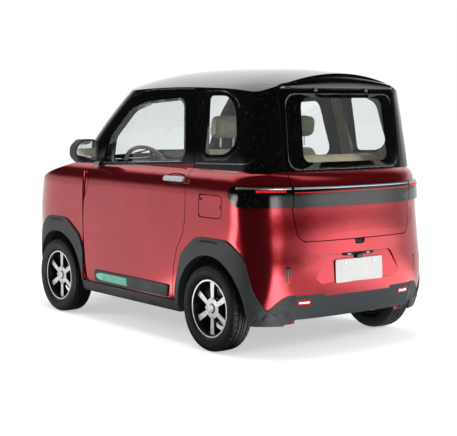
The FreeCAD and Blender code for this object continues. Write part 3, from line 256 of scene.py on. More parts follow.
# %% Build the shared effect groups
tree, inp, out = group("metal_flakes", [("Size", "Float", 0.0006)], [("Glint", "Float")])
spot = add(tree, "TexCoord").outputs["Object"]
cells = add(tree, "TexVoronoi", Vector=spot)
tree.links.new(calc(tree, "DIVIDE", 1.0, inp.outputs["Size"]), cells.inputs["Scale"])
grey = add(tree, "SeparateColor", i0=cells.outputs["Color"])
tree.links.new(grey.outputs[0], out.inputs["Glint"])

tree, inp, out = group("mottle", [("Scale", "Float", 6.0), ("Detail", "Float", 3.0)],
                       [("Value", "Float")])
spot = add(tree, "TexCoord").outputs["Object"]
clouds = add(tree, "TexNoise", Vector=spot, Scale=inp.outputs["Scale"],
             Detail=inp.outputs["Detail"])
tree.links.new(step(tree, clouds.outputs[0], 0.3, 0.7), out.inputs["Value"])

tree, inp, out = group("moulded_grain", [("Size", "Float", 0.0022)], [("Height", "Float")])
spot = add(tree, "TexCoord").outputs["Object"]
density = calc(tree, "DIVIDE", 1.0, inp.outputs["Size"])
pebbles = add(tree, "TexVoronoi", {"feature": "SMOOTH_F1"}, Vector=spot, Scale=density,
              Smoothness=0.6)
fine = add(tree, "TexNoise", Vector=spot, Scale=density, Detail=2.0)
height = calc(tree, "MULTIPLY_ADD", fine.outputs[0], 0.35,
              calc(tree, "MULTIPLY", pebbles.outputs["Distance"], 0.8))
tree.links.new(height, out.inputs["Height"])

tree, inp, out = group("road_dust", [("Top", "Float", 0.45)], [("Mask", "Float")])
spot = add(tree, "TexCoord").outputs["Object"]
z = add(tree, "SeparateXYZ", i0=spot).outputs[2]
low = calc(tree, "SUBTRACT", 1.0,
           add(tree, "MapRange", i0=z, i1=0.02, i2=inp.outputs["Top"]).outputs[0])
specks = add(tree, "TexNoise", Vector=spot, Scale=45.0, Detail=6.0, Roughness=0.7)
mask = calc(tree, "MULTIPLY", low, step(tree, specks.outputs[0], 0.42, 0.75))
tree.links.new(mask, out.inputs["Mask"])

tree, inp, out = group("cabin_side", [], [("Mask", "Float")])
texture = add(tree, "TexCoord")
place_parts = add(tree, "SeparateXYZ", i0=texture.outputs["Object"])
facing_parts = add(tree, "SeparateXYZ", i0=texture.outputs["Normal"])
along = calc(tree, "MULTIPLY", calc(tree, "ADD", place_parts.outputs[0], 0.3),
             facing_parts.outputs[0])
across = calc(tree, "MULTIPLY", place_parts.outputs[1], facing_parts.outputs[1])
upward = calc(tree, "MULTIPLY", calc(tree, "SUBTRACT", place_parts.outputs[2], 1.1),
              facing_parts.outputs[2])
outward = calc(tree, "ADD", calc(tree, "ADD", along, across), calc(tree, "MULTIPLY", upward, 0.6))
tree.links.new(fade(tree, outward, -0.30, -0.22), out.inputs["Mask"])
print("groups", [g.name for g in bpy.data.node_groups])

# %% [markdown]
# ## The finishes
# Each finish starts from the same recipe: a colour that wanders slightly between two tones,
# a roughness that wanders too, and a fine bump. Constants such as metallic or coat go straight
# onto the shader, so that they survive an export. The doors, tailgate and pillars also have a
# cabin side, which is trimmed in beige.

# %% The recipe for a finish


def finish(name, tone, second, rough=(0.35, 0.5), bump=0.0, grain=0.0022, mottle=8.0, **constants):
    """A material whose colour and roughness wander, with a fine moulded grain if bump is set."""
    material = bpy.data.materials.new(name)
    material.use_nodes = True
    tree = material.node_tree
    shader = tree.nodes["Principled BSDF"]
    wander = place(tree, "mottle", Scale=mottle).outputs[0]
    colour = blend_colours(tree, wander, (*tone, 1.0), (*second, 1.0))
    tree.links.new(colour, shader.inputs["Base Color"])
    roughness = add(tree, "MapRange", Value=wander)
    roughness.inputs["To Min"].default_value, roughness.inputs["To Max"].default_value = rough
    tree.links.new(roughness.outputs[0], shader.inputs["Roughness"])
    if bump:
        grains = place(tree, "moulded_grain", Size=grain)
        relief = add(tree, "Bump", Strength=bump, Distance=0.0006, Height=grains.outputs["Height"])
        tree.links.new(relief.outputs[0], shader.inputs["Normal"])
    for key, value in constants.items():
        shader.inputs[key.replace("_", " ")].default_value = value
    return material


def base_of(material):
    """The socket that feeds a material's base colour now, to be mixed further."""
    return material.node_tree.nodes["Principled BSDF"].inputs["Base Color"].links[0].from_socket


def tint(material, mask, colour):
    """Mixes a colour over a material where a mask says."""
    tree = material.node_tree
    mixed = blend_colours(tree, mask, base_of(material), (*colour, 1.0))
    tree.links.new(mixed, tree.nodes["Principled BSDF"].inputs["Base Color"])


def dusty(material, top=0.45, amount=0.35):
    """Adds pale road dust near the ground."""
    mask = place(material.node_tree, "road_dust", Top=top).outputs[0]
    tint(material, calc(material.node_tree, "MULTIPLY", mask, amount), (0.30, 0.27, 0.23))
    return material


RED, DEEP_RED = (0.52, 0.020, 0.034), (0.45, 0.013, 0.024)
BLACK, LINING_BLACK = (0.0014, 0.0014, 0.0016), (0.016, 0.016, 0.014)
BEIGE, WARM_BEIGE = (0.58, 0.52, 0.38), (0.52, 0.46, 0.33)
PAINT_METAL = 0.90


def body_paint(name, split=None):
    """Red metallic paint. Given a line (z, slope), black above it and beige on its cabin side."""
    material = finish(name, RED, DEEP_RED, (0.16, 0.20), mottle=3.0, Metallic=PAINT_METAL,
                      Coat_Weight=1.0, Coat_Roughness=0.02, Coat_IOR=1.5)
    tree = material.node_tree
    flakes = place(tree, "metal_flakes", Size=0.0009)
    sparkle = calc(tree, "MULTIPLY", step(tree, flakes.outputs["Glint"], 0.6, 1.0), 0.35)
    tint(material, sparkle, (0.75, 0.06, 0.08))
    # Painted shade: an ambient-occlusion test darkens the paint towards a deep red in seams,
    # crevices and recesses, such as the plate's recess.
    crevice_occlusion = add(tree, "AmbientOcclusion", {"samples": 6}, Distance=0.022).outputs["AO"]
    shadow = calc(tree, "MULTIPLY", fade(tree, crevice_occlusion, 0.35, 0.92), 0.85)
    tint(material, shadow, (0.035, 0.001, 0.003))
    if split:
        shader = tree.nodes["Principled BSDF"]
        spot = add(tree, "SeparateXYZ", i0=add(tree, "TexCoord").outputs["Object"])
        start_z, slope = split
        line = calc(tree, "MULTIPLY_ADD", spot.outputs[0], slope, start_z)
        above = step(tree, calc(tree, "SUBTRACT", spot.outputs[2], line), -0.0008, 0.0008)
        inside = place(tree, "cabin_side").outputs[0]
        tint(material, above, BLACK)
        tint(material, inside, WARM_BEIGE)
        tint(material, calc(tree, "MULTIPLY", inside, above), LINING_BLACK)
        painted = calc(tree, "SUBTRACT", 1.0, inside)
        metallic = calc(tree, "MULTIPLY", calc(tree, "SUBTRACT", 1.0, above), PAINT_METAL)
        tree.links.new(calc(tree, "MULTIPLY", painted, metallic), shader.inputs["Metallic"])
        roughness = shader.inputs["Roughness"].links[0].from_socket
        roughness = calc(tree, "MULTIPLY_ADD", above, -0.12, roughness)
        trimmed = calc(tree, "MAXIMUM", roughness, calc(tree, "MULTIPLY", inside, 0.6))
        tree.links.new(trimmed, shader.inputs["Roughness"])
        tree.links.new(painted, shader.inputs["Coat Weight"])
    return material


paint = body_paint("red_metallic")
door_paint = body_paint("door_paint", (1.0575, -0.0498))
gate_paint = body_paint("tailgate_paint", (1.062, 0.0))
print("paints", paint.name, door_paint.name, gate_paint.name)

# %% [markdown]
# ## Lacquer, plastic, metal and rubber
# The glasshouse is black lacquer with a few fine flakes. The plastics differ in tone, gloss and
# grain: the cladding is a blue-grey, the lower trim nearly black. What is near the road is dusty.

# %% Black lacquer, plastics, metals and rubber


def black_lacquer(name, cabin=None):
    """Gloss black, with a cabin side in its own colour if one is given."""
    material = finish(name, BLACK, (0.0024, 0.0024, 0.0028), (0.04, 0.10), mottle=2.0,
                      Coat_Weight=1.0, Coat_Roughness=0.015)
    tree = material.node_tree
    shader = tree.nodes["Principled BSDF"]
    flakes = place(tree, "metal_flakes", Size=0.0035)
    sparkle = calc(tree, "MULTIPLY", step(tree, flakes.outputs["Glint"], 0.985, 1.0), 0.35)
    tint(material, sparkle, (0.20, 0.18, 0.14))
    if cabin:
        inside = place(tree, "cabin_side").outputs[0]
        tint(material, inside, cabin)
        spot = add(tree, "SeparateXYZ", i0=add(tree, "TexCoord").outputs["Object"])
        forward = step(tree, spot.outputs[0], 0.08, 0.14)
        tint(material, calc(tree, "MULTIPLY", inside, forward), LINING_BLACK)
        rough = calc(tree, "MAXIMUM", shader.inputs["Roughness"].links[0].from_socket,
                     calc(tree, "MULTIPLY", inside, 0.75))
        tree.links.new(rough, shader.inputs["Roughness"])
        tree.links.new(calc(tree, "SUBTRACT", 1.0, inside), shader.inputs["Coat Weight"])
    return material


black_lacquer("pillar_black", (0.36, 0.35, 0.24))
roof_black = black_lacquer("roof_black", (0.62, 0.61, 0.56))
lens_black = black_lacquer("lens_black")
dusty(finish("arch_plastic", (0.030, 0.034, 0.037), (0.040, 0.044, 0.048), (0.42, 0.55), 0.35,
             0.0016))
dark_plastic = dusty(finish("dark_plastic", (0.008, 0.009, 0.010), (0.013, 0.014, 0.015),
                            (0.38, 0.55), 0.35, 0.0016))
soft_black = finish("soft_black", (0.004, 0.004, 0.004), (0.008, 0.008, 0.008), (0.55, 0.7), 0.4,
                    0.0013)
dusty(finish("under_black", (0.006, 0.006, 0.006), (0.016, 0.015, 0.014), (0.6, 0.85), 0.3, 0.004),
      0.8, 0.6)
steel = dusty(finish("frame_steel", (0.10, 0.10, 0.105), (0.17, 0.165, 0.16), (0.35, 0.6), 0.2,
                     0.003, Metallic=0.8), 0.7)
cast_iron = dusty(finish("cast_iron", (0.09, 0.085, 0.08), (0.14, 0.13, 0.12), (0.55, 0.75), 0.5,
                         0.0014, Metallic=0.7))
chrome = finish("chrome", (0.78, 0.79, 0.80), (0.70, 0.71, 0.73), (0.06, 0.14), mottle=20.0,
                Metallic=1.0)
finish("grip_chrome", (0.88, 0.89, 0.90), (0.80, 0.81, 0.82), (0.20, 0.30), mottle=16.0,
       Metallic=0.40, Coat_Weight=0.6)
satin_silver = finish("satin_silver", (0.62, 0.64, 0.66), (0.52, 0.54, 0.56), (0.22, 0.34),
                      mottle=14.0, Metallic=0.9)
finish("beige_trim", BEIGE, WARM_BEIGE, (0.5, 0.65), 0.3, 0.0018)
finish("case_grey", (0.11, 0.115, 0.12), (0.16, 0.165, 0.17), (0.45, 0.6), 0.25, 0.003,
       Metallic=0.3)
rubber = dusty(finish("tyre_rubber", (0.005, 0.005, 0.0055), (0.009, 0.009, 0.010), (0.42, 0.58),
                      0.25, 0.0012), 0.45, 0.07)
print("finishes", len(bpy.data.materials))

# %% [markdown]
# ## Clear things
# Window glass is real glass here, with its thickness in the mesh. Lamps get light into the
# cabin by letting shadow rays pass, which is a common studio trick and stays in the material.

# %% Glass and lamp lenses


def clear(name, tone):
    """Glass that lets shadow rays through."""
    material = bpy.data.materials.new(name)
    material.use_nodes = True
    tree = material.node_tree
    shader = tree.nodes["Principled BSDF"]
    streaks = place(tree, "mottle", Scale=3.0).outputs[0]
    colour = blend_colours(tree, streaks, (*tone, 1.0), tuple(0.97 * c for c in tone) + (1.0,))
    tree.links.new(colour, shader.inputs["Base Color"])
    shader.inputs["Transmission Weight"].default_value = 1.0
    shader.inputs["Roughness"].default_value = 0.0
    shader.inputs["IOR"].default_value = 1.45
    pass_through = add(tree, "BsdfTransparent", Color=(*tone, 1.0))
    light = add(tree, "LightPath")
    way = calc(tree, "MAXIMUM", light.outputs["Is Shadow Ray"], light.outputs["Is Diffuse Ray"])
    mixed = add(tree, "MixShader", i0=way, i1=shader.outputs[0], i2=pass_through.outputs[0])
    tree.links.new(mixed.outputs[0], tree.nodes["Material Output"].inputs[0])
    return material


clear("window_glass", (0.93, 0.96, 0.955))
clear("headlamp_lens", (0.95, 0.96, 0.97))


def glowing(name, tone, strength, rough=0.2):
    """A glowing part, with fine ribs moulded in its lens. On the lamps the glow is their light; on
    the reflectors it is a painted reflection.
    """
    material = finish(name, tone, tuple(0.8 * c for c in tone), (rough, rough + 0.1), 0.3, 0.0012)
    tree = material.node_tree
    shader = tree.nodes["Principled BSDF"]
    pulse = place(tree, "mottle", Scale=60.0).outputs[0]
    colour = blend_colours(tree, pulse, (*tone, 1.0),
                           tuple(min(1.0, 1.25 * c) for c in tone) + (1.0,))
    tree.links.new(colour, shader.inputs["Emission Color"])
    shader.inputs["Emission Strength"].default_value = strength
    return material


led_red = glowing("led_red", (0.85, 0.015, 0.010), 0.9)
# This red glow is the light of the tail band's light line, and a painted reflection where the lens
# is used on the reflectors.
lens_red = glowing("lens_red", (0.55, 0.010, 0.012), 0.18, 0.08)
# Painted reflection: this white glow is used only on the pale bar inside the low reflectors.
white_painted_glow = glowing("white_painted_glow", (1.0, 0.86, 0.84), 0.9)
print("clear and lit finishes ready")

# %% [markdown]
# ## Dress the CAD nodes
# The panels keep their CAD shape, so they only need their finish. Slots are filled by a table
# of node names, which keeps left and right alike.

# %% Give every carried-over node its finish
DRESS = {
    "red_metallic": ["quarter_panels", "rear_bumper", "front_fenders", "front_bumper", "bonnet",
                     "charge_flap"],
    "door_paint": ["door_left", "door_right"],
    "tailgate_paint": ["tailgate"],
    "pillar_black": ["pillar_frame"],
    "roof_black": ["roof_panel"],
    "lens_black": ["lamp_bar", "corner_lamps"],
    "arch_plastic": ["side_mouldings", "door_moulding_left", "door_moulding_right"],
    "dark_plastic": ["rear_valance", "cowl_panel", "front_grille", "door_mirror_left",
                     "door_mirror_right", "wiper"],
    "soft_black": ["dashboard"],
    "under_black": ["floor_platform"],
    "case_grey": ["battery_pack", "drive_motor"],
    "frame_steel": ["front_suspension", "rear_axle"],
    "cast_iron": ["knuckle_left", "knuckle_right"],
    "grip_chrome": ["door_handle_left", "door_handle_right"],
    "beige_trim": ["steering_wheel"],
    "window_glass": ["windscreen", "rear_glass", "quarter_windows", "door_glass_left",
                     "door_glass_right"],
    "headlamp_lens": ["headlamps"],
}
for material_name, names in DRESS.items():
    for node_name in names:
        for slot in nodes[node_name].material_slots:
            slot.material = bpy.data.materials[material_name]
left_over = sorted(set(nodes) - {n for names in DRESS.values() for n in names})
print("not dressed yet", left_over)

# %% [markdown]
# ## Pressing trim onto a curved body
# Strips, seams and lamp lines follow the bodywork, which curves in every direction. Instead of
# guessing where the surface is, each strip is a grid of rays shot at the CAD panels from
# outside. Where they land becomes a thin closed slab, a little proud of the panel.

# %% Tools that press a slab onto the panels
BESIDE, BEHIND = 1.3, -2.0
FOUR_ACROSS = (-0.5, -0.38, 0.38, 0.5)


def skin_of(*names):
    """One search tree over the faces of several CAD nodes."""
    corners, faces = [], []
    for name in names:
        data = nodes[name].data
        start = len(corners)
        corners += [v.co.copy() for v in data.vertices]
        faces += [[start + i for i in p.vertices] for p in data.polygons]
    return BVHTree.FromPolygons(corners, faces)


def new_piece(name, corners, faces, material, body, slot=None, smooth=True):
    """A finished mesh object with outward normals, riding on its body."""
    data = bpy.data.meshes.new(name)
    data.from_pydata([tuple(c) for c in corners], [], faces)
    form = bmesh.new()
    form.from_mesh(data)
    bmesh.ops.remove_doubles(form, verts=form.verts, dist=1e-6)
    bmesh.ops.recalc_face_normals(form, faces=form.faces)
    form.to_mesh(data)
    form.free()
    data.materials.append(material)
    if smooth:
        data.shade_smooth()
        data.set_sharp_from_angle(angle=math.radians(35))
    piece = bpy.data.objects.new(name, data)
    scene.collection.objects.link(piece)
    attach(piece, body)
    return piece


def slab_from_rows(top, bottom, loop=False):
    """Corners and faces of the slab between two equal grids of points."""
    rows, columns = len(top), len(top[0])
    corners = [p for row in top for p in row] + [p for row in bottom for p in row]
    half = rows * columns
    faces = []
    for i in range(rows if loop else rows - 1):
        n = (i + 1) % rows
        for j in range(columns - 1):
            a, b, c, d = i * columns + j, i * columns + j + 1, n * columns + j + 1, n * columns + j
            faces += [(a, b, c, d), (half + d, half + c, half + b, half + a)]
        for j in (0, columns - 1):
            faces.append((i * columns + j, n * columns + j, half + n * columns + j,
                          half + i * columns + j))
    if not loop:
        for i in (0, rows - 1):
            for j in range(columns - 1):
                a = i * columns + j
                faces.append((a, a + 1, half + a + 1, half + a))
    return corners, faces


def press(name, rays, skin, material, body, lift=0.001, sink=0.002, loop=False, slot=None):
    """A thin slab on the panels: rays is a grid of (start, direction)."""
    top, bottom = [], []
    for row in rays:
        upper, lower = [], []
        for j, (start, direction) in enumerate(row):
            hit, normal, _, _ = skin.ray_cast(Vector(start), Vector(direction).normalized())
            if hit is None:
                raise RuntimeError(f"{name}: a ray from {tuple(start)} missed the panels")
            if normal.dot(Vector(direction)) > 0:
                normal.negate()
            edge = j in (0, len(row) - 1) and len(row) > 2
            upper.append(hit + normal * (lift * 0.45 if edge else lift))
            lower.append(hit - normal * sink)
        top.append(upper)
        bottom.append(lower)
    return new_piece(name, *slab_from_rows(top, bottom, loop), material, body, slot)


def spread(a, b, count):
    """Evenly spaced numbers from a to b."""
    return [a + (b - a) * i / (count - 1) for i in range(count)]


def from_side(x, z, side):
    """A ray at the car's side."""
    return (x, side * BESIDE, z), (0, -side, 0)


def from_rear(y, z):
    """A ray at the car's rear."""
    return (BEHIND, y, z), (1, 0, 0)


def across_line(line, width):
    """For every point of a line, four points that lie across it."""
    rows = []
    for k, (u, v) in enumerate(line):
        before, after = line[max(k - 1, 0)], line[min(k + 1, len(line) - 1)]
        run = Vector((after[0] - before[0], after[1] - before[1])).normalized()
        across = Vector((-run.y, run.x)) * width
        rows.append([(u + across.x * o, v + across.y * o) for o in FOUR_ACROSS])
    return rows


def side_rays(line, width, side):
    """Rays at the car's side along a line of (x, z), four across its width."""
    return [[from_side(x, z, side) for x, z in row] for row in across_line(line, width)]


def rear_rays(line, width):
    """Rays at the car's rear along a line of (y, z), four across its width."""
    return [[from_rear(y, z) for y, z in row] for row in across_line(line, width)]


def smooth_line(points, count):
    """A rounded line through the given points, in even steps."""
    out = []
    padded = [points[0], *points, points[-1]]
    for k in range(len(points) - 1):
        p0, p1, p2, p3 = (Vector(p) for p in padded[k:k + 4])
        for i in range(count):
            t = i / count
            out.append(0.5 * ((2 * p1) + (p2 - p0) * t + (2 * p0 - 5 * p1 + 4 * p2 - p3) * t * t
                              + (3 * p1 - p0 - 3 * p2 + p3) * t ** 3))
    out.append(Vector(points[-1]))
    return out


print("pressing tools ready")

# %% [markdown]
# ## Bright trim and belt
# A bright strip runs along the foot of the side glass, and steps up before it reaches the
# tailgate. The door carries a rubber wiper strip at the same height.

# %% Belt strips on the glasshouse
for side, word in SIDES:
    glasshouse = skin_of("pillar_frame", f"door_{word}", "quarter_panels")
    bright = smooth_line([(-0.672, 1.093), (-0.76, 1.095), (-1.00, 1.101), (-1.13, 1.106),
                          (-1.175, 1.116), (-1.20, 1.128)], 7)
    press(f"belt_strip_{word}", side_rays(bright, 0.007, side), glasshouse, chrome, "root", 0.0035,
          slot="bright_trim")
    seal = smooth_line([(0.36, 1.052), (0.10, 1.062), (-0.25, 1.078), (-0.535, 1.090)], 8)
    door_skin = skin_of(f"door_{word}")
    press(f"glass_seal_{word}", side_rays(seal, 0.013, side), door_skin, soft_black, f"{word}_door",
          0.003, slot="dark_plastic")
    line = [(x, z + 0.0085) for x, z in seal]
    press(f"glass_seal_edge_{word}", side_rays(line, 0.0032, side), door_skin, satin_silver,
          f"{word}_door", 0.0042, slot="bright_trim")
print("belt strips done")

# %% [markdown]
# ## Lamps across the tail
# The rear lamps are one dark band that wraps both corners. A bright edge runs along its top,
# and under it a row of small red diodes that are lit. The band is split where the tailgate
# opens, so the bright edge is made in three lengths, one for each body; the diodes sit on the
# two corners and a red light line on the tailgate's length.

# %% Lamp edges and light lines
CORNER_X, CORNER_Y = -1.12, 0.40
EDGE_Z, DIODE_Z, GLOW_Z = 0.9725, 0.9560, 0.9480
BAND_START, BAR_HALF = -1.150, 0.452


def wrap_rays(z, width, side, start_x, end_y, steps=34):
    """Rays from outside at a height, round the rear corner until the tailgate's seam."""
    spots = [((x, BESIDE * side), (0.0, -float(side))) for x in spread(start_x, -1.13, 6)]
    for k in range(1, steps):
        turn = math.radians(90 + 90 * k / steps)
        out = Vector((math.cos(turn), side * math.sin(turn)))
        spots.append(((CORNER_X + out.x, CORNER_Y * side + out.y), (-out.x, -out.y)))
    rows = []
    for (x, y), (dx, dy) in spots:
        hit = lamp_skin.ray_cast(Vector((x, y, z)), Vector((dx, dy, 0.0)))[0]
        if hit and side * hit.y > end_y and hit.x < start_x + 0.001:
            rows.append([((x, y, z + width * o), (dx, dy, 0.0)) for o in FOUR_ACROSS])
    return rows


lamp_skin = skin_of("lamp_bar", "corner_lamps")
for side, word in SIDES:
    corner_line = wrap_rays(EDGE_Z, 0.011, side, BAND_START, 0.466)
    press(f"corner_edge_{word}", corner_line, lamp_skin, satin_silver, "root", 0.0016,
          slot="bright_trim")
bar_line = [(y, EDGE_Z) for y in spread(-BAR_HALF, BAR_HALF, 40)]
press("bar_edge", rear_rays(bar_line, 0.011), lamp_skin, satin_silver, "gate", 0.0016,
      slot="bright_trim")
glow_line = [(y, GLOW_Z) for y in spread(-BAR_HALF, BAR_HALF, 40)]
press("bar_light", rear_rays(glow_line, 0.0055), lamp_skin, lens_red, "gate", 0.0009,
      slot="lamp_dark")
print("lamp lines done")

# %% [markdown]
# Small parts that repeat are made by Geometry Nodes. This tree takes a mesh that is only a few
# points, each with the direction it faces and the direction of its row, and puts one bevelled
# block on each. It serves the diodes, the ribs of the light strip, the bolts, the camera's eye
# and the seats' posts, rails and covers.

# %% A tree that sets blocks on points


def tree_socket(tree, label, kind, value=None):
    """A named input of a Geometry Nodes tree; gives the identifier that a modifier sets."""
    made = tree.interface.new_socket(label, in_out="INPUT", socket_type="NodeSocket" + kind)
    if value is not None:
        made.default_value = value
    return made.identifier


block_tree = bpy.data.node_groups.new("blocks_on_points", "GeometryNodeTree")
block_tree.interface.new_socket("Geometry", in_out="INPUT", socket_type="NodeSocketGeometry")
BLOCK_INPUTS = {
    "size": tree_socket(block_tree, "Size", "Vector", (0.01, 0.01, 0.002)),
    "sides": tree_socket(block_tree, "Sides", "Int", 4),
    "finish": tree_socket(block_tree, "Finish", "Material"),
}
block_tree.interface.new_socket("Geometry", in_out="OUTPUT", socket_type="NodeSocketGeometry")


def geo(tree, kind, **inputs):
    """Adds a Geometry Nodes node and joins or sets its inputs."""
    return feed(tree, tree.nodes.new(kind), inputs)


def named(tree, label):
    """A direction that is stored on the points under a name."""
    made = tree.nodes.new("GeometryNodeInputNamedAttribute")
    made.data_type = "FLOAT_VECTOR"
    made.inputs["Name"].default_value = label
    return made.outputs[0]


inp, out = block_tree.nodes.new("NodeGroupInput"), block_tree.nodes.new("NodeGroupOutput")
prism = geo(block_tree, "GeometryNodeMeshCone", Vertices=inp.outputs["Sides"], Radius_Top=0.60,
            Radius_Bottom=0.7071, Depth=1.0)
quarter_turn = geo(block_tree, "GeometryNodeTransform", Geometry=prism.outputs[0],
                   Rotation=(0.0, 0.0, math.pi / 4), Translation=(0, 0, -0.5))
outward = block_tree.nodes.new("FunctionNodeAlignRotationToVector")
outward.axis = "Z"
block_tree.links.new(named(block_tree, "outward"), outward.inputs["Vector"])
along_row = block_tree.nodes.new("FunctionNodeAlignRotationToVector")
along_row.axis, along_row.pivot_axis = "X", "Z"
block_tree.links.new(outward.outputs[0], along_row.inputs["Rotation"])
block_tree.links.new(named(block_tree, "row"), along_row.inputs["Vector"])
placed = geo(block_tree, "GeometryNodeInstanceOnPoints", Points=inp.outputs["Geometry"],
             Instance=quarter_turn.outputs[0], Rotation=along_row.outputs[0],
             Scale=inp.outputs["Size"])
real = geo(block_tree, "GeometryNodeRealizeInstances", Geometry=placed.outputs[0])
finished = geo(block_tree, "GeometryNodeSetMaterial", Geometry=real.outputs[0],
               Material=inp.outputs["Finish"])
block_tree.links.new(finished.outputs[0], out.inputs[0])


def evaluated_mesh(maker):
    """A plain mesh of what an object's modifiers make of it."""
    graph = bpy.context.evaluated_depsgraph_get()
    return bpy.data.meshes.new_from_object(maker.evaluated_get(graph))


def blocks(name, spots, size, material, body, sides=4):
    """Bevelled blocks at spots of (place, outward, row direction)."""
    data = bpy.data.meshes.new(name + "_points")
    data.from_pydata([tuple(s[0]) for s in spots], [], [])
    for label, k in (("outward", 1), ("row", 2)):
        values = data.attributes.new(label, "FLOAT_VECTOR", "POINT")
        values.data.foreach_set("vector", [c for s in spots for c in s[k]])
    maker = bpy.data.objects.new(name + "_maker", data)
    scene.collection.objects.link(maker)
    nodes_modifier = maker.modifiers.new("blocks", "NODES")
    nodes_modifier.node_group = block_tree
    nodes_modifier[BLOCK_INPUTS["size"]] = size
    nodes_modifier[BLOCK_INPUTS["sides"]] = sides
    nodes_modifier[BLOCK_INPUTS["finish"]] = material
    made = evaluated_mesh(maker)
    bpy.data.objects.remove(maker)
    made.materials.clear()
    made.materials.append(material)
    piece = bpy.data.objects.new(name, made)
    scene.collection.objects.link(piece)
    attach(piece, body)
    return piece


def spots_on(rays, skin, lift=0.0):
    """Block spots where the middle of each ray row lands."""
    found = []
    for row in rays:
        start, direction = row[len(row) // 2]
        hit, normal, _, _ = skin.ray_cast(Vector(start), Vector(direction).normalized())
        if normal.dot(Vector(direction)) > 0:
            normal.negate()
        found.append([hit + normal * lift, normal])
    for k, spot in enumerate(found):
        before, after = found[max(k - 1, 0)][0], found[min(k + 1, len(found) - 1)][0]
        spot.append((after - before).normalized())
    return found


for side, word in SIDES:
    diode_row = wrap_rays(DIODE_Z, 0.001, side, BAND_START, 0.492, 220)
    spots = spots_on(diode_row, lamp_skin, 0.0012)
    run, kept = 0.0, []
    for k in range(1, len(spots)):
        run += (spots[k][0] - spots[k - 1][0]).length
        if spots[k][0].x < -1.262 and run > 0.0150:
            kept.append(spots[k])
            run = 0.0
    blocks(f"corner_diodes_{word}", kept, (0.0095, 0.012, 0.002), led_red, "root")
    print(word, "diodes", len(kept))

# %% [markdown]
# ## Number plate, camera and latch
# The plate is blank. It stands on the leaning wall of its recess with two round bolts, under a
# small reversing camera with a light on each side, and the tailgate's latch sits above.

# %% Make the plate and its neighbours


def ring_faces(first, second, count):
    """Faces between two closed rows of corners, given by the numbers that they start at."""
    faces = []
    for k in range(count):
        n = (k + 1) % count
        faces.append((first + k, first + n, second + n, second + k))
    return faces


def rounded_slab(name, centre, across, up, size, radius, thickness, material, body, slot=None,
                 rim=0.0):
    """A plate with round corners, lying between two directions, with a softened edge."""
    across, up = Vector(across).normalized(), Vector(up).normalized()
    outward = across.cross(up).normalized()
    outline = []
    w, h = size[0] / 2 - radius, size[1] / 2 - radius
    for cx, cy, begin in ((w, h, 0), (-w, h, 90), (-w, -h, 180), (w, -h, 270)):
        for k in range(7):
            a = math.radians(begin + 15 * k)
            outline.append((cx + radius * math.cos(a), cy + radius * math.sin(a)))
    levels = [(1.0, 0.0), (1.0, 0.65), (0.965, 1.0)]
    if rim:
        levels += [(0.965 - rim, 1.0), (0.955 - rim, 0.55)]
    centre = Vector(centre)
    corners = []
    for scale, height in levels:
        for u, v in outline:
            su = u * (1 - (1 - scale) * min(size) / size[0])
            sv = v * (1 - (1 - scale) * min(size) / size[1])
            corners.append(centre + across * su + up * sv + outward * thickness * height)
    n = len(outline)
    faces = [tuple(reversed(range(n)))]
    for level in range(len(levels) - 1):
        faces += ring_faces(level * n, (level + 1) * n, n)
    faces.append(tuple(range((len(levels) - 1) * n, len(levels) * n)))
    return new_piece(name, corners, faces, material, body, slot)


plate_white = finish("plate_enamel", (0.80, 0.80, 0.79), (0.75, 0.75, 0.74), (0.25, 0.35),
                     mottle=30.0)
ACROSS, SIDEWAYS = (0, -1, 0), Vector((0, 1, 0))
LEAN = Vector((0.0450, 0.0, 0.9990))
plate_centre = Vector((-1.4244, 0.0, 0.4865))
outward = Vector(ACROSS).cross(LEAN)
rounded_slab("number_plate", plate_centre, ACROSS, LEAN, (0.372, 0.134), 0.012, 0.0022, plate_white,
             "root", rim=0.035)
bolt_row = plate_centre + LEAN * 0.045 + outward * 0.0038
bolts = [(bolt_row + SIDEWAYS * y, outward, SIDEWAYS) for y in (-0.11, 0.11)]
blocks("plate_bolts", bolts, (0.011, 0.011, 0.004), chrome, "root", sides=10)


def fitting(name, centre, up, size, radius, thickness, material):
    """A small rounded part that faces backwards from the bumper's skin."""
    rounded_slab(name, centre, ACROSS, up, size, radius, thickness, material, "root",
                 "dark_plastic")


fitting("plate_backing", plate_centre - outward * 0.006, LEAN, (0.355, 0.124), 0.010, 0.006,
        dark_plastic)
fitting("plate_lamp", (-1.4105, 0.0, 0.5805), (0.07, 0, 1), (0.235, 0.015), 0.006, 0.009,
        soft_black)
camera_spot, camera_up = Vector((-1.412, 0.0, 0.566)), Vector((-0.20, 0, 1))
fitting("camera_body", camera_spot, camera_up, (0.046, 0.034), 0.012, 0.014, soft_black)
camera_out = Vector(ACROSS).cross(camera_up.normalized())
eye = [(camera_spot + camera_out * 0.0135, camera_out, SIDEWAYS)]
eye_glass = black_lacquer("camera_glass")
blocks("camera_eye", eye, (0.020, 0.020, 0.004), eye_glass, "root", sides=20)
plate_glow = finish("plate_lamp_lens", (0.75, 0.75, 0.72), (0.62, 0.62, 0.60), (0.15, 0.3),
                    mottle=60.0)
lenses = [(Vector((-1.4200, y, 0.5805)), Vector((-1, 0, 0)), SIDEWAYS) for y in (-0.075, 0.075)]
blocks("plate_lamp_lenses", lenses, (0.026, 0.008, 0.002), plate_glow, "root")
fitting("latch_grip", (-1.4045, 0.0, 0.6530), (0.05, 0, 1), (0.082, 0.024), 0.007, 0.014,
        soft_black)
fitting("latch_pad", (-1.4185, 0.0, 0.6500), (0.05, 0, 1), (0.060, 0.009), 0.004, 0.003,
        dark_plastic)
print("plate and latch done")

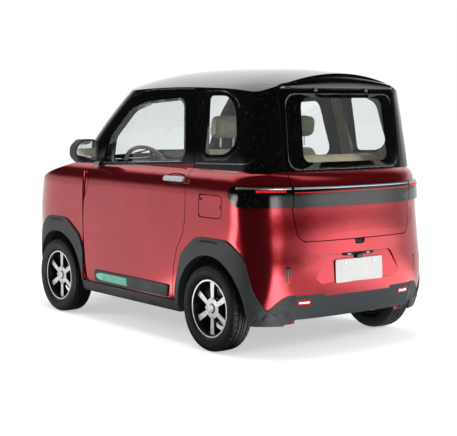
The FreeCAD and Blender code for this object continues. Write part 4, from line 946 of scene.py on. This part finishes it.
# %% [markdown]
# ## Reflectors and small lenses
# Two reflectors sit in shallow pockets of the valance, and two upright ones on the rear
# corners. The lens is red with a pale bar inside it. The lens and the bar glow, though no
# reflector is a lamp: a painted reflection. Each upright one sits in a black pocket and has a
# darker upper half: both are painted shade.

# %% Make the reflectors
LOW_Y, LOW_Z, PILL_ROWS = 0.394, 0.3235, 15
TALL_Y, TALL_LOW, TALL_HIGH, TALL_HALF = 0.4995, 0.434, 0.533, 0.0105


def pill_rays(y, low, high, half, start, end):
    """Rays at the rear over an upright pill from low to high, or its part from start to end."""
    rows = []
    for k in range(PILL_ROWS):
        z = start + (end - start) * 0.5 * (1 - math.cos(math.pi * k / (PILL_ROWS - 1)))
        into_end = max(0.0, low + half - z, z - high + half) / half
        wide = half * max(0.12, math.sqrt(max(0.0, 1 - into_end * into_end)))
        rows.append([from_rear(y + wide * o, z) for o in (-1.0, -0.7, 0.7, 1.0)])
    return rows


# Painted shade: a darker copy of the red reflector lens, for the upper half of each upright
# reflector.
reflector_painted_shade = finish("reflector_painted_shade", (0.085, 0.010, 0.016), (0.065, 0.008, 0.012), (0.12, 0.2),
                     Coat_Weight=1.0)
rear_skin = skin_of("rear_bumper", "quarter_panels", "rear_valance")
for side, word in SIDES:
    # Painted reflection: the red lens and its pale bar glow, though a reflector is no lamp.
    frame_line = [(LOW_Y * side + d, LOW_Z) for d in spread(-0.043, 0.043, 9)]
    press(f"low_reflector_{word}", rear_rays(frame_line, 0.034), rear_skin, lens_red, "root",
          0.0052, slot="lamp_dark")
    bar = [(LOW_Y * side + d, LOW_Z) for d in spread(-0.034, 0.034, 7)]
    press(f"low_reflector_bar_{word}", rear_rays(bar, 0.0115), rear_skin, white_painted_glow, "root", 0.0062,
          -0.0045, slot="lamp_clear")
    # Painted shade: this black pocket round each upright reflector stands in for the shadow in its
    # recess.
    recess_shade_rows = pill_rays(0.503 * side, 0.431, 0.536, 0.015, 0.431, 0.536)
    press(f"tall_recess_shade_{word}", recess_shade_rows, rear_skin, lens_black, "root", 0.0008, slot="lamp_dark")
    # The lower half takes the glowing red lens: a painted reflection.
    lower = pill_rays(TALL_Y * side, TALL_LOW, TALL_HIGH, TALL_HALF, TALL_LOW, 0.482)
    press(f"tall_reflector_{word}", lower, rear_skin, lens_red, "root", 0.0026, slot="lamp_dark")
    # The upper half takes the darker copy of the lens: painted shade.
    upper = pill_rays(TALL_Y * side, TALL_LOW, TALL_HIGH, TALL_HALF, 0.484, TALL_HIGH)
    press(f"tall_reflector_dark_{word}", upper, rear_skin, reflector_painted_shade, "root", 0.0022,
          slot="lamp_dark")
print("reflectors done")

# %% [markdown]
# ## Side details
# The mint strip on the door cladding is a row of narrow ribs with a tapered nose. The arches
# carry a dark slot at their top, the charge flap a finger notch, and the handle a dark cup.

# %% Light strip, arch slots, notch and handle cup
MINT_Z, MINT_STEPS = 0.3075, (-0.5, -0.42, 0.42, 0.5)
CUP_X, CUP_Z, CUP_HALF = -0.5485, 1.000, 0.0975
CUP_STEPS = (-0.034, -0.030, 0.026, 0.030)
mint = finish("mint_strip", (0.30, 0.80, 0.58), (0.24, 0.70, 0.50), (0.25, 0.4), mottle=40.0)
for side, word in SIDES:
    body = f"{word}_door"
    cladding = skin_of(f"door_moulding_{word}", f"door_{word}")
    nose = [(0.346, 0.016), (0.335, 0.030), (0.318, 0.040), (0.295, 0.047), (0.27, 0.050)]
    shape = nose + [(x, 0.050) for x in spread(0.24, -0.026, 12)]
    rows = []
    for x, tall in shape:
        middle = MINT_Z + (x - 0.16) * 0.006
        rows.append([from_side(x, middle + tall * o, side) for o in MINT_STEPS])
    press(f"mint_base_{word}", rows, cladding, mint, body, 0.0010, 0.001, slot="bright_trim")
    rib_rays = [[from_side(x, MINT_Z, side)] for x in spread(0.270, -0.018, 22)]
    ribs = spots_on(rib_rays, cladding, 0.0026)
    blocks(f"mint_ribs_{word}", ribs, (0.0090, 0.046, 0.0020), mint, body)
    arches = skin_of("side_mouldings")
    for end, x0, x1 in (("rear", -0.828, -0.998), ("front", 0.936, 0.782)):
        heights = [0.646 + 0.004 * math.sin(math.pi * k / 11) for k in range(12)]
        line = list(zip(spread(x0, x1, 12), heights))
        press(f"arch_slot_{end}_{word}", side_rays(line, 0.013, side), arches, soft_black, "root",
              0.0007, slot="dark_plastic")
    door_skin = skin_of(f"door_{word}")
    cup = []
    for x in spread(-0.645, -0.452, 16):
        tall = max(0.05, math.sqrt(max(0.0, 1 - ((x - CUP_X) / CUP_HALF) ** 2)) ** 0.55)
        cup.append([from_side(x, CUP_Z + o * tall, side) for o in CUP_STEPS])
    press(f"handle_cup_{word}", cup, door_skin, soft_black, body, 0.0010, slot="dark_plastic")
notch = [(-1.0120, z) for z in spread(0.844, 0.866, 5)]
press("flap_notch", side_rays(notch, 0.009, 1), skin_of("charge_flap"), soft_black, "flap", 0.0008,
      slot="dark_plastic")
print("side details done")

# %% [markdown]
# ## Lower corners and roof lip
# Behind each rear wheel the red panel runs down to a point, and the dark valance rises beside it
# in a slanting wing. The roof ends in a small spoiler lip over the tailgate, which also hides
# the hinges.

# %% Valance wings and roof lip
WING_FOOT, WING_STEPS = 0.192, (0.0, 0.04, 0.3, 0.6, 0.96, 1.0)
FOOT_STEPS = (0.1925, 0.195, 0.210, 0.220, 0.223)
# heading round the corner, in degrees, and the height of the wing's upper edge there
WING = [
    (124.5, 0.214), (126.9, 0.234), (130.1, 0.256), (133.6, 0.277), (137.4, 0.300), (142.7, 0.324),
    (148.5, 0.347), (153.2, 0.360), (157.7, 0.3685), (163.1, 0.3705), (168.5, 0.3690),
]
corner = skin_of("quarter_panels", "rear_valance", "side_mouldings")
for side, word in SIDES:
    rows = []
    for turn, top in WING:
        a = math.radians(turn)
        out = Vector((math.cos(a), side * math.sin(a), 0))
        start = Vector((CORNER_X, CORNER_Y * side, WING_FOOT)) + out
        while corner.ray_cast(start, -out)[0] is None:
            start.z += 0.002
        rows.append([((start.x, start.y, start.z + (top - start.z) * t), -out) for t in WING_STEPS])
    press(f"valance_wing_{word}", rows, corner, dark_plastic, "root", 0.0022, slot="dark_plastic")
    rows = [[from_rear(y * side, z) for z in FOOT_STEPS] for y in spread(0.4270, 0.460, 8)]
    press(f"corner_foot_{word}", rows, skin_of("quarter_panels"), dark_plastic, "root", 0.0016,
          slot="dark_plastic")
LIP_HALF, LIP_FOOT, LIP_COUNT = 0.452, 1.535, 41
lip_rows = []
for y in spread(-LIP_HALF, LIP_HALF, LIP_COUNT):
    crown = max(0.0, 1 - (y / LIP_HALF) ** 2)
    end = max(0.0, (abs(y) - 0.40) / 0.052)
    top_x, top_z = -1.218 - 0.016 * crown, 1.552 + 0.058 * crown ** 0.9
    reach = (0.030 + 0.012 * crown) * math.sqrt(max(0.05, 1 - end * end))
    tall = top_z - LIP_FOOT
    section = [
        (top_x, top_z), (top_x - reach * 0.60, top_z - tall * 0.10),
        (top_x - reach * 0.92, top_z - tall * 0.28),
        (top_x - reach, LIP_FOOT + tall * 0.40), (top_x - reach * 0.97, LIP_FOOT + 0.003),
        (top_x - reach * 0.86, LIP_FOOT), (top_x - 0.006, LIP_FOOT + 0.002),
        (top_x + 0.012, LIP_FOOT + 0.008),
    ]
    lip_rows.append([Vector((x, y, z)) for x, z in section])
corners = [p for row in lip_rows for p in row]
width = len(lip_rows[0])
first_of_last = (LIP_COUNT - 1) * width
faces = [tuple(range(width)), tuple(range(first_of_last + width - 1, first_of_last - 1, -1))]
for i in range(LIP_COUNT - 1):
    faces += ring_faces(i * width, (i + 1) * width, width)
new_piece("roof_lip", corners, faces, roof_black, "root", "gloss_black")
print("corners and lip done")

# %% [markdown]
# ## Glass borders
# Real car glass has a black printed border that hides the glue and the trim behind it. Here it
# is a very thin slab on the outside of the rear and quarter panes, with the clear opening left
# free.

# %% Borders on the rear and quarter glass
glass_print = black_lacquer("glass_print")


def corner_loop(points, radii, steps=6):
    """A closed outline with rounded corners; every corner gives the same number of points."""
    out = []
    count = len(points)
    for k, p in enumerate(points):
        p = Vector(p)
        a, b = Vector(points[k - 1]), Vector(points[(k + 1) % count])
        to_a, to_b = (a - p), (b - p)
        cut = min(radii[k], to_a.length * 0.45, to_b.length * 0.45)
        start, end = p + to_a.normalized() * cut, p + to_b.normalized() * cut
        for i in range(steps + 1):
            t = i / steps
            out.append((1 - t) ** 2 * start + 2 * t * (1 - t) * p + t * t * end)
        for i in range(1, 5):
            t = i / 5
            b_cut = min(radii[(k + 1) % count], to_b.length * 0.45)
            next_start = b - to_b.normalized() * b_cut
            out.append(end.lerp(next_start, t))
    return out


def border(name, outer, inner, lift_rays, skin, body):
    """A ring of black print between two outlines with equal numbers of points."""
    rows = []
    for a, b in zip(outer, inner):
        rows.append([lift_rays(a.lerp(b, t)) for t in (0.0, 0.25, 0.5, 0.75, 1.0)])
    press(name, rows, skin, glass_print, body, 0.0006, -0.0001, loop=True, slot="gloss_black")


rear_outer = corner_loop([(0.415, 1.500), (-0.415, 1.500), (-0.430, 1.075), (0.430, 1.075)],
                         [0.085] * 4)
rear_inner = corner_loop([(0.318, 1.480), (-0.318, 1.480), (-0.334, 1.112), (0.334, 1.112)],
                         [0.055] * 4)
border("rear_glass_print", rear_outer, rear_inner, lambda p: from_rear(p.x, p.y),
       skin_of("rear_glass"), "gate")
QUARTER_OUT = [(-0.664, 1.520), (-0.882, 1.520), (-1.014, 1.459), (-1.079, 1.203), (-0.970, 1.121),
               (-0.724, 1.116)]
QUARTER_IN = [(-0.742, 1.493), (-0.905, 1.493), (-0.995, 1.430), (-1.043, 1.222), (-0.950, 1.152),
              (-0.752, 1.147)]
for side, word in SIDES:
    outer = corner_loop(QUARTER_OUT, [0.05, 0.09, 0.09, 0.09, 0.09, 0.05])
    inner = corner_loop(QUARTER_IN, [0.03, 0.05, 0.05, 0.05, 0.05, 0.03])
    border(f"quarter_glass_print_{word}", outer, inner, lambda p: from_side(p.x, p.y, side),
           skin_of("quarter_windows"), "root")
print("glass borders done")

# %% [markdown]
# ## Mirrors
# The mirror glass is silvered, slightly dished in its shell, and faces backwards.

# %% Make the mirror glass
silvered = finish("mirror_silver", (0.86, 0.88, 0.88), (0.82, 0.84, 0.84), (0.01, 0.02), mottle=3.0,
                  Metallic=1.0)
MIRROR_FACE = [(0.684, 1.090), (0.708, 1.070), (0.800, 1.074), (0.838, 1.112),
               (0.831, 1.164), (0.788, 1.202), (0.706, 1.202), (0.686, 1.184)]
MIRROR_RADII = [0.012, 0.02, 0.035, 0.04, 0.04, 0.035, 0.018, 0.012]
for side, word in SIDES:
    loop = corner_loop([(y * side, z) for y, z in MIRROR_FACE], MIRROR_RADII, 4)
    rim_z = [(0.3728, 1.0), (0.3708, 1.0), (0.3704, 0.95)]
    centre = Vector((0.765 * side, 1.136))
    corners, n = [], len(loop)
    for x, scale in rim_z:
        corners += [(x, *(centre + (p - centre) * scale)) for p in loop]
    faces = [tuple(range(n))]
    for level in range(2):
        faces += ring_faces(level * n, (level + 1) * n, n)
    faces.append(tuple(reversed(range(2 * n, 3 * n))))
    new_piece(f"mirror_glass_{word}", corners, faces, silvered, f"{word}_door", "bright_trim")
print("mirrors done")

# %% [markdown]
# ## Wheels
# The tyre is turned from one profile. Its tread is cut straight into that profile: four grooves
# run round it, and every few degrees the shoulders drop into a cross groove.

# %% Turn the tyres
FRONT_AXLE, REAR_AXLE = 0.858, -0.904
WHEELS = {
    "front_left": (FRONT_AXLE, 1), "rear_left": (REAR_AXLE, 1),
    "front_right": (FRONT_AXLE, -1), "rear_right": (REAR_AXLE, -1),
}
TYRE_MIDDLE, TYRE_R, BEAD_R = 0.646, 0.254, 0.171
HALF_SECTION = [
    (0.0500, BEAD_R - 0.0020), (0.0555, BEAD_R + 0.0030), (0.0620, BEAD_R + 0.0100),
    (0.0650, BEAD_R + 0.0130), (0.0652, BEAD_R + 0.0155), (0.0690, BEAD_R + 0.0220),
    (0.0712, BEAD_R + 0.0310), (0.0722, BEAD_R + 0.0410), (0.0724, BEAD_R + 0.0475),
    (0.0716, BEAD_R + 0.0482), (0.0716, BEAD_R + 0.0510), (0.0722, BEAD_R + 0.0517),
    (0.0706, BEAD_R + 0.0600), (0.0680, BEAD_R + 0.0690), (0.0655, BEAD_R + 0.0745),
]
# across, radius, and the kind of cross groove there: 1 on the shoulder, 2 on the middle ribs
TREAD = [
    (0.0610, 0.2478, 0), (0.0560, 0.2505, 1), (0.0500, 0.2520, 1), (0.0420, 0.2529, 1),
    (0.0385, 0.2531, 0), (0.0375, 0.2470, 0), (0.0315, 0.2470, 0), (0.0305, 0.2534, 0),
    (0.0240, 0.2536, 2), (0.0160, 0.2538, 2), (0.0125, 0.2539, 0), (0.0115, 0.2475, 0),
    (0.0055, 0.2475, 0), (0.0045, 0.2540, 0), (0.0, 0.2540, 0),
]
STEPS = 240


def tyre_profile(step_index):
    """The outline across the tyre at one step round it, grooves included."""
    def tread_radius(r, kind, flip):
        phase = (step_index + (3 if flip else 0)) % 6
        if kind == 1 and phase == 0:
            return r - 0.0050
        if kind == 2 and phase == 3:
            return r - 0.0030
        return r
    right = HALF_SECTION + [(y, tread_radius(r, kind, False)) for y, r, kind in TREAD]
    left_tread = [(-y, tread_radius(r, kind, True)) for y, r, kind in TREAD[:-1]]
    left = [(-y, r) for y, r in HALF_SECTION] + left_tread
    return right + left[::-1] + [(-0.040, BEAD_R + 0.002), (0.040, BEAD_R + 0.002)]


for wheel, (x, side) in WHEELS.items():
    corners, faces = [], []
    width = len(tyre_profile(0))
    for k in range(STEPS):
        a = 2 * math.pi * k / STEPS
        for y, r in tyre_profile(k):
            corners.append((x + r * math.cos(a), side * (TYRE_MIDDLE + y),
                            TYRE_R + r * math.sin(a)))
    for k in range(STEPS):
        faces += ring_faces(k * width, (k + 1) % STEPS * width, width)
    piece = new_piece(f"tyre_tread_{wheel}", corners, faces, rubber, f"{wheel}_wheel", "tyre")
    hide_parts(f"tyre_{wheel}")
print("tyres", STEPS, "steps,", width, "points across")

# %% [markdown]
# ## Rims and brakes
# The rim keeps its CAD shape. Its finish is two-toned by where a face lies and which way it
# looks: machined silver on the spokes' faces and the outer lip, black everywhere else. Behind
# the spokes a steel disc is turned from a profile, and a cast caliper sits over it.

# %% Finish the rims, with discs and calipers behind them
RING_STEPS = 72
rim_metal = finish("rim_two_tone", (0.90, 0.90, 0.91), (0.78, 0.79, 0.80), (0.26, 0.36),
                   mottle=25.0)
tree = rim_metal.node_tree
texture = add(tree, "TexCoord")
spot = add(tree, "SeparateXYZ", i0=texture.outputs["Object"])
facing = add(tree, "SeparateXYZ", i0=texture.outputs["Normal"])
across, turned = calc(tree, "ABSOLUTE", spot.outputs[1]), calc(tree, "ABSOLUTE", facing.outputs[1])
face_on = calc(tree, "MULTIPLY", step(tree, turned, 0.72, 0.86), step(tree, across, 0.6755, 0.6785))
dark = calc(tree, "SUBTRACT", 1.0, face_on)
tint(rim_metal, dark, (0.006, 0.006, 0.0065))
shader = tree.nodes["Principled BSDF"]
tree.links.new(calc(tree, "MULTIPLY", face_on, 0.45), shader.inputs["Metallic"])
for wheel in WHEELS:
    for slot in nodes[f"rim_{wheel}"].material_slots:
        slot.material = rim_metal


def turned_ring(name, profile, x, side, material, body, slot):
    """A ring turned about the axle from a closed profile of (distance out, radius)."""
    corners, faces, width = [], [], len(profile)
    for k in range(RING_STEPS):
        a = 2 * math.pi * k / RING_STEPS
        corners += [(x + r * math.cos(a), side * y, TYRE_R + r * math.sin(a)) for y, r in profile]
    for k in range(RING_STEPS):
        faces += ring_faces(k * width, (k + 1) % RING_STEPS * width, width)
    return new_piece(name, corners, faces, material, body, slot)


DISC = [(0.600, 0.050), (0.600, 0.112), (0.6015, 0.114), (0.6085, 0.114), (0.610, 0.112),
        (0.610, 0.072), (0.634, 0.068), (0.634, 0.050)]
disc_steel = finish("disc_steel", (0.42, 0.42, 0.43), (0.30, 0.30, 0.31), (0.22, 0.38), mottle=30.0,
                    Metallic=1.0)
for wheel, (x, side) in WHEELS.items():
    turned_ring(f"brake_disc_{wheel}", DISC, x, side, disc_steel, f"{wheel}_wheel", "steel_frame")
    holder = {"front_left": "left_knuckle", "front_right": "right_knuckle"}.get(wheel, "root")
    rounded_slab(f"caliper_{wheel}", (x + 0.092, side * 0.594, TYRE_R - 0.030), (0.45, 0, 0.9),
                 (0.9, 0, -0.45), (0.105, 0.050), 0.012, 0.026 * side, cast_iron, holder,
                 "cast_knuckle")
print("wheels dressed")

# %% [markdown]
# ## Seats
# The cushions are real soft shapes. Each starts as a slightly small form made from its side
# profile, is remeshed into an even skin and blown up by a short cloth simulation, so that its
# sides crown and its corners pull in. The seams are pressed in afterwards, because the remesh
# would erase them. The headrests are still in the film that they were delivered in.

# %% Leather, and the tools that make a pad
AIR_PRESSURE, AIR_FRAMES = 4.0, 20
leather = finish("beige_leather", (0.66, 0.55, 0.37), (0.57, 0.47, 0.31), (0.36, 0.50),
                 0.55, 0.0017, 14.0, Sheen_Weight=0.25, Coat_Weight=0.12, Coat_Roughness=0.3)
leather_tree = leather.node_tree
creases = add(leather_tree, "TexNoise", Vector=add(leather_tree, "TexCoord").outputs["Object"],
              Scale=38.0, Detail=5.0, Distortion=1.4)
worn = step(leather_tree, creases.outputs[0], 0.44, 0.60)
tint(leather, calc(leather_tree, "MULTIPLY", worn, 0.30), (0.44, 0.37, 0.26))
first_bump = next(n for n in leather_tree.nodes if n.bl_idname == "ShaderNodeBump")
second_bump = add(leather_tree, "Bump", Strength=0.35, Distance=0.002, Height=creases.outputs[0],
                  Normal=first_bump.outputs[0])
leather_tree.links.new(second_bump.outputs[0],
                       leather_tree.nodes["Principled BSDF"].inputs["Normal"])
film = finish("wrapping_film", (0.62, 0.53, 0.38), (0.50, 0.42, 0.30), (0.12, 0.30), mottle=20.0,
              Coat_Weight=1.0, Coat_Roughness=0.05)
film_tree = film.node_tree
folds = add(film_tree, "TexNoise", Vector=add(film_tree, "TexCoord").outputs["Object"], Scale=19.0,
            Detail=4.0, Distortion=2.6)
crumpled = add(film_tree, "Bump", Strength=1.0, Distance=0.010, Height=folds.outputs[0])
film_tree.links.new(crumpled.outputs[0], film_tree.nodes["Principled BSDF"].inputs["Normal"])
film_tree.links.new(crumpled.outputs[0], film_tree.nodes["Principled BSDF"].inputs["Coat Normal"])


def pad_form(name, profile, half, roundness, shrink=0.94):
    """A closed form from a side profile of (x, z), its ends drawn in, in even steps across."""
    middle = sum((Vector(p) for p in profile), Vector((0, 0))) / len(profile)
    outline = corner_loop(profile, [0.045] * len(profile), 4)
    sections = 15
    corners = []
    for k in range(sections):
        t = math.sin((-1 + 2 * k / (sections - 1)) * math.pi / 2)
        edge = max(0.0, (abs(t) - 0.72) / 0.28)
        scale = shrink * (1 - roundness * (1 - math.sqrt(max(0.0, 1 - edge * edge))))
        for p in outline:
            q = middle + (p - middle) * scale
            corners.append((q.x, t * half * shrink, q.y))
    n = len(outline)
    faces = [tuple(range(n)), tuple(reversed(range((sections - 1) * n, sections * n)))]
    for k in range(sections - 1):
        faces += [(k * n + j, (k + 1) * n + j, (k + 1) * n + (j + 1) % n,
                   k * n + (j + 1) % n) for j in range(n)]
    data = bpy.data.meshes.new(name)
    data.from_pydata(corners, [], faces)
    form = bmesh.new()
    form.from_mesh(data)
    bmesh.ops.triangulate(form, faces=[f for f in form.faces if len(f.verts) > 4])
    bmesh.ops.recalc_face_normals(form, faces=form.faces)
    form.to_mesh(data)
    form.free()
    maker = bpy.data.objects.new(name, data)
    scene.collection.objects.link(maker)
    return maker


def blow_up(maker, voxel, cap):
    """Remeshes the form and inflates it as cloth; no point moves further than the cap."""
    remesh = maker.modifiers.new("even_skin", "REMESH")
    remesh.mode, remesh.voxel_size = "VOXEL", voxel
    even = evaluated_mesh(maker)
    maker.modifiers.clear()
    maker.data = even
    cloth = maker.modifiers.new("air", "CLOTH")
    cloth.settings.quality = 4
    cloth.settings.use_pressure = True
    cloth.settings.uniform_pressure_force = AIR_PRESSURE
    cloth.settings.effector_weights.gravity = 0.0
    cloth.point_cache.frame_start, cloth.point_cache.frame_end = 1, AIR_FRAMES
    for moment in range(1, AIR_FRAMES + 1):
        scene.frame_set(moment)
    blown = evaluated_mesh(maker)
    maker.modifiers.clear()
    for start, end in zip(even.vertices, blown.vertices):
        way = end.co - start.co
        if way.length > cap:
            way *= cap / way.length
        start.co += way
    bpy.data.meshes.remove(blown)
    scene.frame_set(1)
    finer = maker.modifiers.new("finer", "SUBSURF")
    finer.levels = finer.render_levels = 1
    smooth = evaluated_mesh(maker)
    bpy.data.objects.remove(maker)
    return smooth


def sew(data, seams, depth=0.0055, width=0.0065):
    """Presses seams into a pad. Each seam gives a point's distance from it, or None."""
    data.update()
    moves = []
    for v in data.vertices:
        amount = 0.0
        for seam in seams:
            far = seam(v.co)
            if far is not None:
                amount = max(amount, math.exp(-(far / width) ** 2))
        moves.append(v.normal * (-depth * amount))
    for v, move in zip(data.vertices, moves):
        v.co += move


def seat_piece(name, data, offset_y, material, node):
    """A copy of a pad's mesh in its place across the car."""
    data = data.copy()
    for v in data.vertices:
        v.co.y += offset_y
    data.materials.clear()
    data.materials.append(material)
    data.shade_smooth()
    piece = bpy.data.objects.new(name, data)
    scene.collection.objects.link(piece)
    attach(piece, "root")
    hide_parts(node)
    return piece


def near_line(axis, value, low=-9.0, high=9.0, along=0):
    """A seam on a plane across one axis, kept between two values of another."""
    return lambda co: abs(co[axis] - value) if low < co[along] < high else None


print("pad tools ready")

# %% [markdown]
# ## Front seats
# Both seats share three pads. A pad is made once from its side profile and copied to each side.
# The middle panels have sewn channels across them and a long seam down each bolster.

# %% Front seats
SEAT_Y, UP, FORWARD = 0.290, Vector((0, 0, 1)), Vector((1, 0, 0))
CUSHION = [(0.060, 0.435), (0.105, 0.555), (0.058, 0.606), (-0.325, 0.582), (-0.415, 0.557),
           (-0.415, 0.435)]
BACKREST = [(-0.335, 0.575), (-0.412, 0.528), (-0.445, 0.600), (-0.556, 1.155), (-0.520, 1.205),
            (-0.452, 1.195), (-0.402, 0.900)]
HEADREST = [(-0.482, 1.232), (-0.583, 1.232), (-0.597, 1.366), (-0.512, 1.382)]
front_pads = {
    "cushion": (pad_form("cushion", CUSHION, 0.216, 0.35), 0.010, 0.020),
    "backrest": (pad_form("backrest", BACKREST, 0.216, 0.45), 0.010, 0.020),
    "headrest": (pad_form("headrest", HEADREST, 0.118, 0.45), 0.007, 0.012),
}
front_pads = {word: blow_up(form, voxel, cap) for word, (form, voxel, cap) in front_pads.items()}
BOLSTER = 0.128


def channel(axis, value, above=-9.0):
    """A sewn channel across the middle panel, on the part of the pad above a height."""
    return lambda co: abs(co[axis] - value) if abs(co.y) < BOLSTER and co.z > above else None


cushion_channels = [channel(0, x, 0.55) for x in (-0.06, -0.14, -0.22, -0.30)]
backrest_channels = [channel(2, z) for z in (0.74, 0.84, 0.94, 1.04)]
sew(front_pads["cushion"], [near_line(1, BOLSTER), near_line(1, -BOLSTER), *cushion_channels])
bolster_seams = [near_line(1, y, 0.60, 9.0, 2) for y in (BOLSTER, -BOLSTER)]
sew(front_pads["backrest"], [*bolster_seams, *backrest_channels])
sew(front_pads["headrest"], [lambda co: abs(co.x + 0.545 + (co.z - 1.30) * 0.12)], 0.003, 0.005)
for side, word in SIDES:
    for part, data in front_pads.items():
        seat_piece(f"seat_{part}_{word}", data, SEAT_Y * side,
                   film if part == "headrest" else leather, "front_seats")
    middle = SEAT_Y * side
    posts = [(Vector((-0.538, middle + d, 1.215)), UP, FORWARD) for d in (-0.05, 0.05)]
    bars = blocks(f"headrest_posts_{word}", posts, (0.0085, 0.0085, 0.075), chrome, "root",
                  sides=16)
    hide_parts("front_seats")
    rails = [(Vector((-0.17, middle + d, 0.418)), UP, FORWARD) for d in (-0.155, 0.155)]
    frame_piece = blocks(f"seat_rails_{word}", rails, (0.44, 0.030, 0.032), steel, "root")
    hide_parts("front_seats")
    hinges = [(Vector((-0.395, middle + 0.212, 0.560)), Vector((0, 1, 0)), FORWARD),
              (Vector((-0.395, middle - 0.212, 0.560)), Vector((0, -1, 0)), FORWARD)]
    covers = blocks(f"recliner_covers_{word}", hinges, (0.105, 0.105, 0.016), soft_black, "root",
                    sides=28)
    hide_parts("front_seats")
print("front seats", {k: len(v.vertices) for k, v in front_pads.items()})

# %% [markdown]
# ## Rear bench, belts and screen
# The bench is made as the seats are. The belts hang flat from their guides on the pillars, so
# they are modelled as thin strips, and the dashboard's screen is one pane of black glass.

# %% Rear bench, belts and screen
BELT_STEPS, BELT_THICK, SCREEN_Y = (-0.023, 0.0, 0.023), 0.0014, 0.012
BENCH = [(-0.642, 0.486), (-0.622, 0.600), (-0.682, 0.637), (-0.958, 0.602), (-1.016, 0.486)]
BENCH_BACK = [(-0.940, 0.612), (-1.008, 0.566), (-1.030, 0.600), (-1.166, 1.138), (-1.120, 1.176),
              (-1.052, 1.148)]
bench = blow_up(pad_form("bench", BENCH, 0.405, 0.30, 0.96), 0.012, 0.016)
bench_back = blow_up(pad_form("bench_back", BENCH_BACK, 0.514, 0.30, 0.96), 0.013, 0.016)
bench_seams = [near_line(1, y) for y in (0.0, 0.27, -0.27)]
sew(bench, bench_seams, 0.006, 0.008)
sew(bench_back, [*bench_seams, near_line(2, 1.02)], 0.006, 0.008)
seat_piece("bench_cushion", bench, 0.0, leather, "rear_bench")
seat_piece("bench_backrest", bench_back, 0.0, leather, "rear_bench")

webbing = finish("belt_webbing", (0.016, 0.016, 0.017), (0.030, 0.030, 0.031), (0.55, 0.75), 0.7,
                 0.0016, 120.0)
for side, word in SIDES:
    route = [(-0.585, 0.592, 1.300), (-0.570, 0.598, 1.180), (-0.560, 0.604, 1.000),
             (-0.555, 0.606, 0.800), (-0.552, 0.604, 0.560)]
    top, bottom = [], []
    for x, y, z in route:
        top.append([Vector((x + d, side * y, z)) for d in BELT_STEPS])
        bottom.append([Vector((x + d, side * (y - BELT_THICK), z)) for d in BELT_STEPS])
    new_piece(f"seat_belt_{word}", *slab_from_rows(top, bottom), webbing, "root", "dark_plastic")
    rounded_slab(f"belt_guide_{word}", (-0.586, side * 0.588, 1.300), (1, 0, 0), (0, 0, 1),
                 (0.075, 0.040), 0.014, 0.012 * side, soft_black, "root", "dark_plastic")
    rounded_slab(f"belt_buckle_{word}", (-0.300, side * 0.055, 0.600), (1, 0, 0.2), (-0.2, 0, 1),
                 (0.030, 0.085), 0.008, 0.016 * side, soft_black, "root", "dark_plastic")
screen_glass = black_lacquer("screen_glass")
rounded_slab("screen_foot", (0.505, SCREEN_Y, 1.003), ACROSS, UP, (0.130, 0.020), 0.006, 0.066,
             soft_black, "root", "dark_plastic")
rounded_slab("dash_screen", (0.4297, SCREEN_Y, 1.063), ACROSS, UP, (0.384, 0.108), 0.010, 0.0012,
             screen_glass, "root", "gloss_black")
print("cabin done")
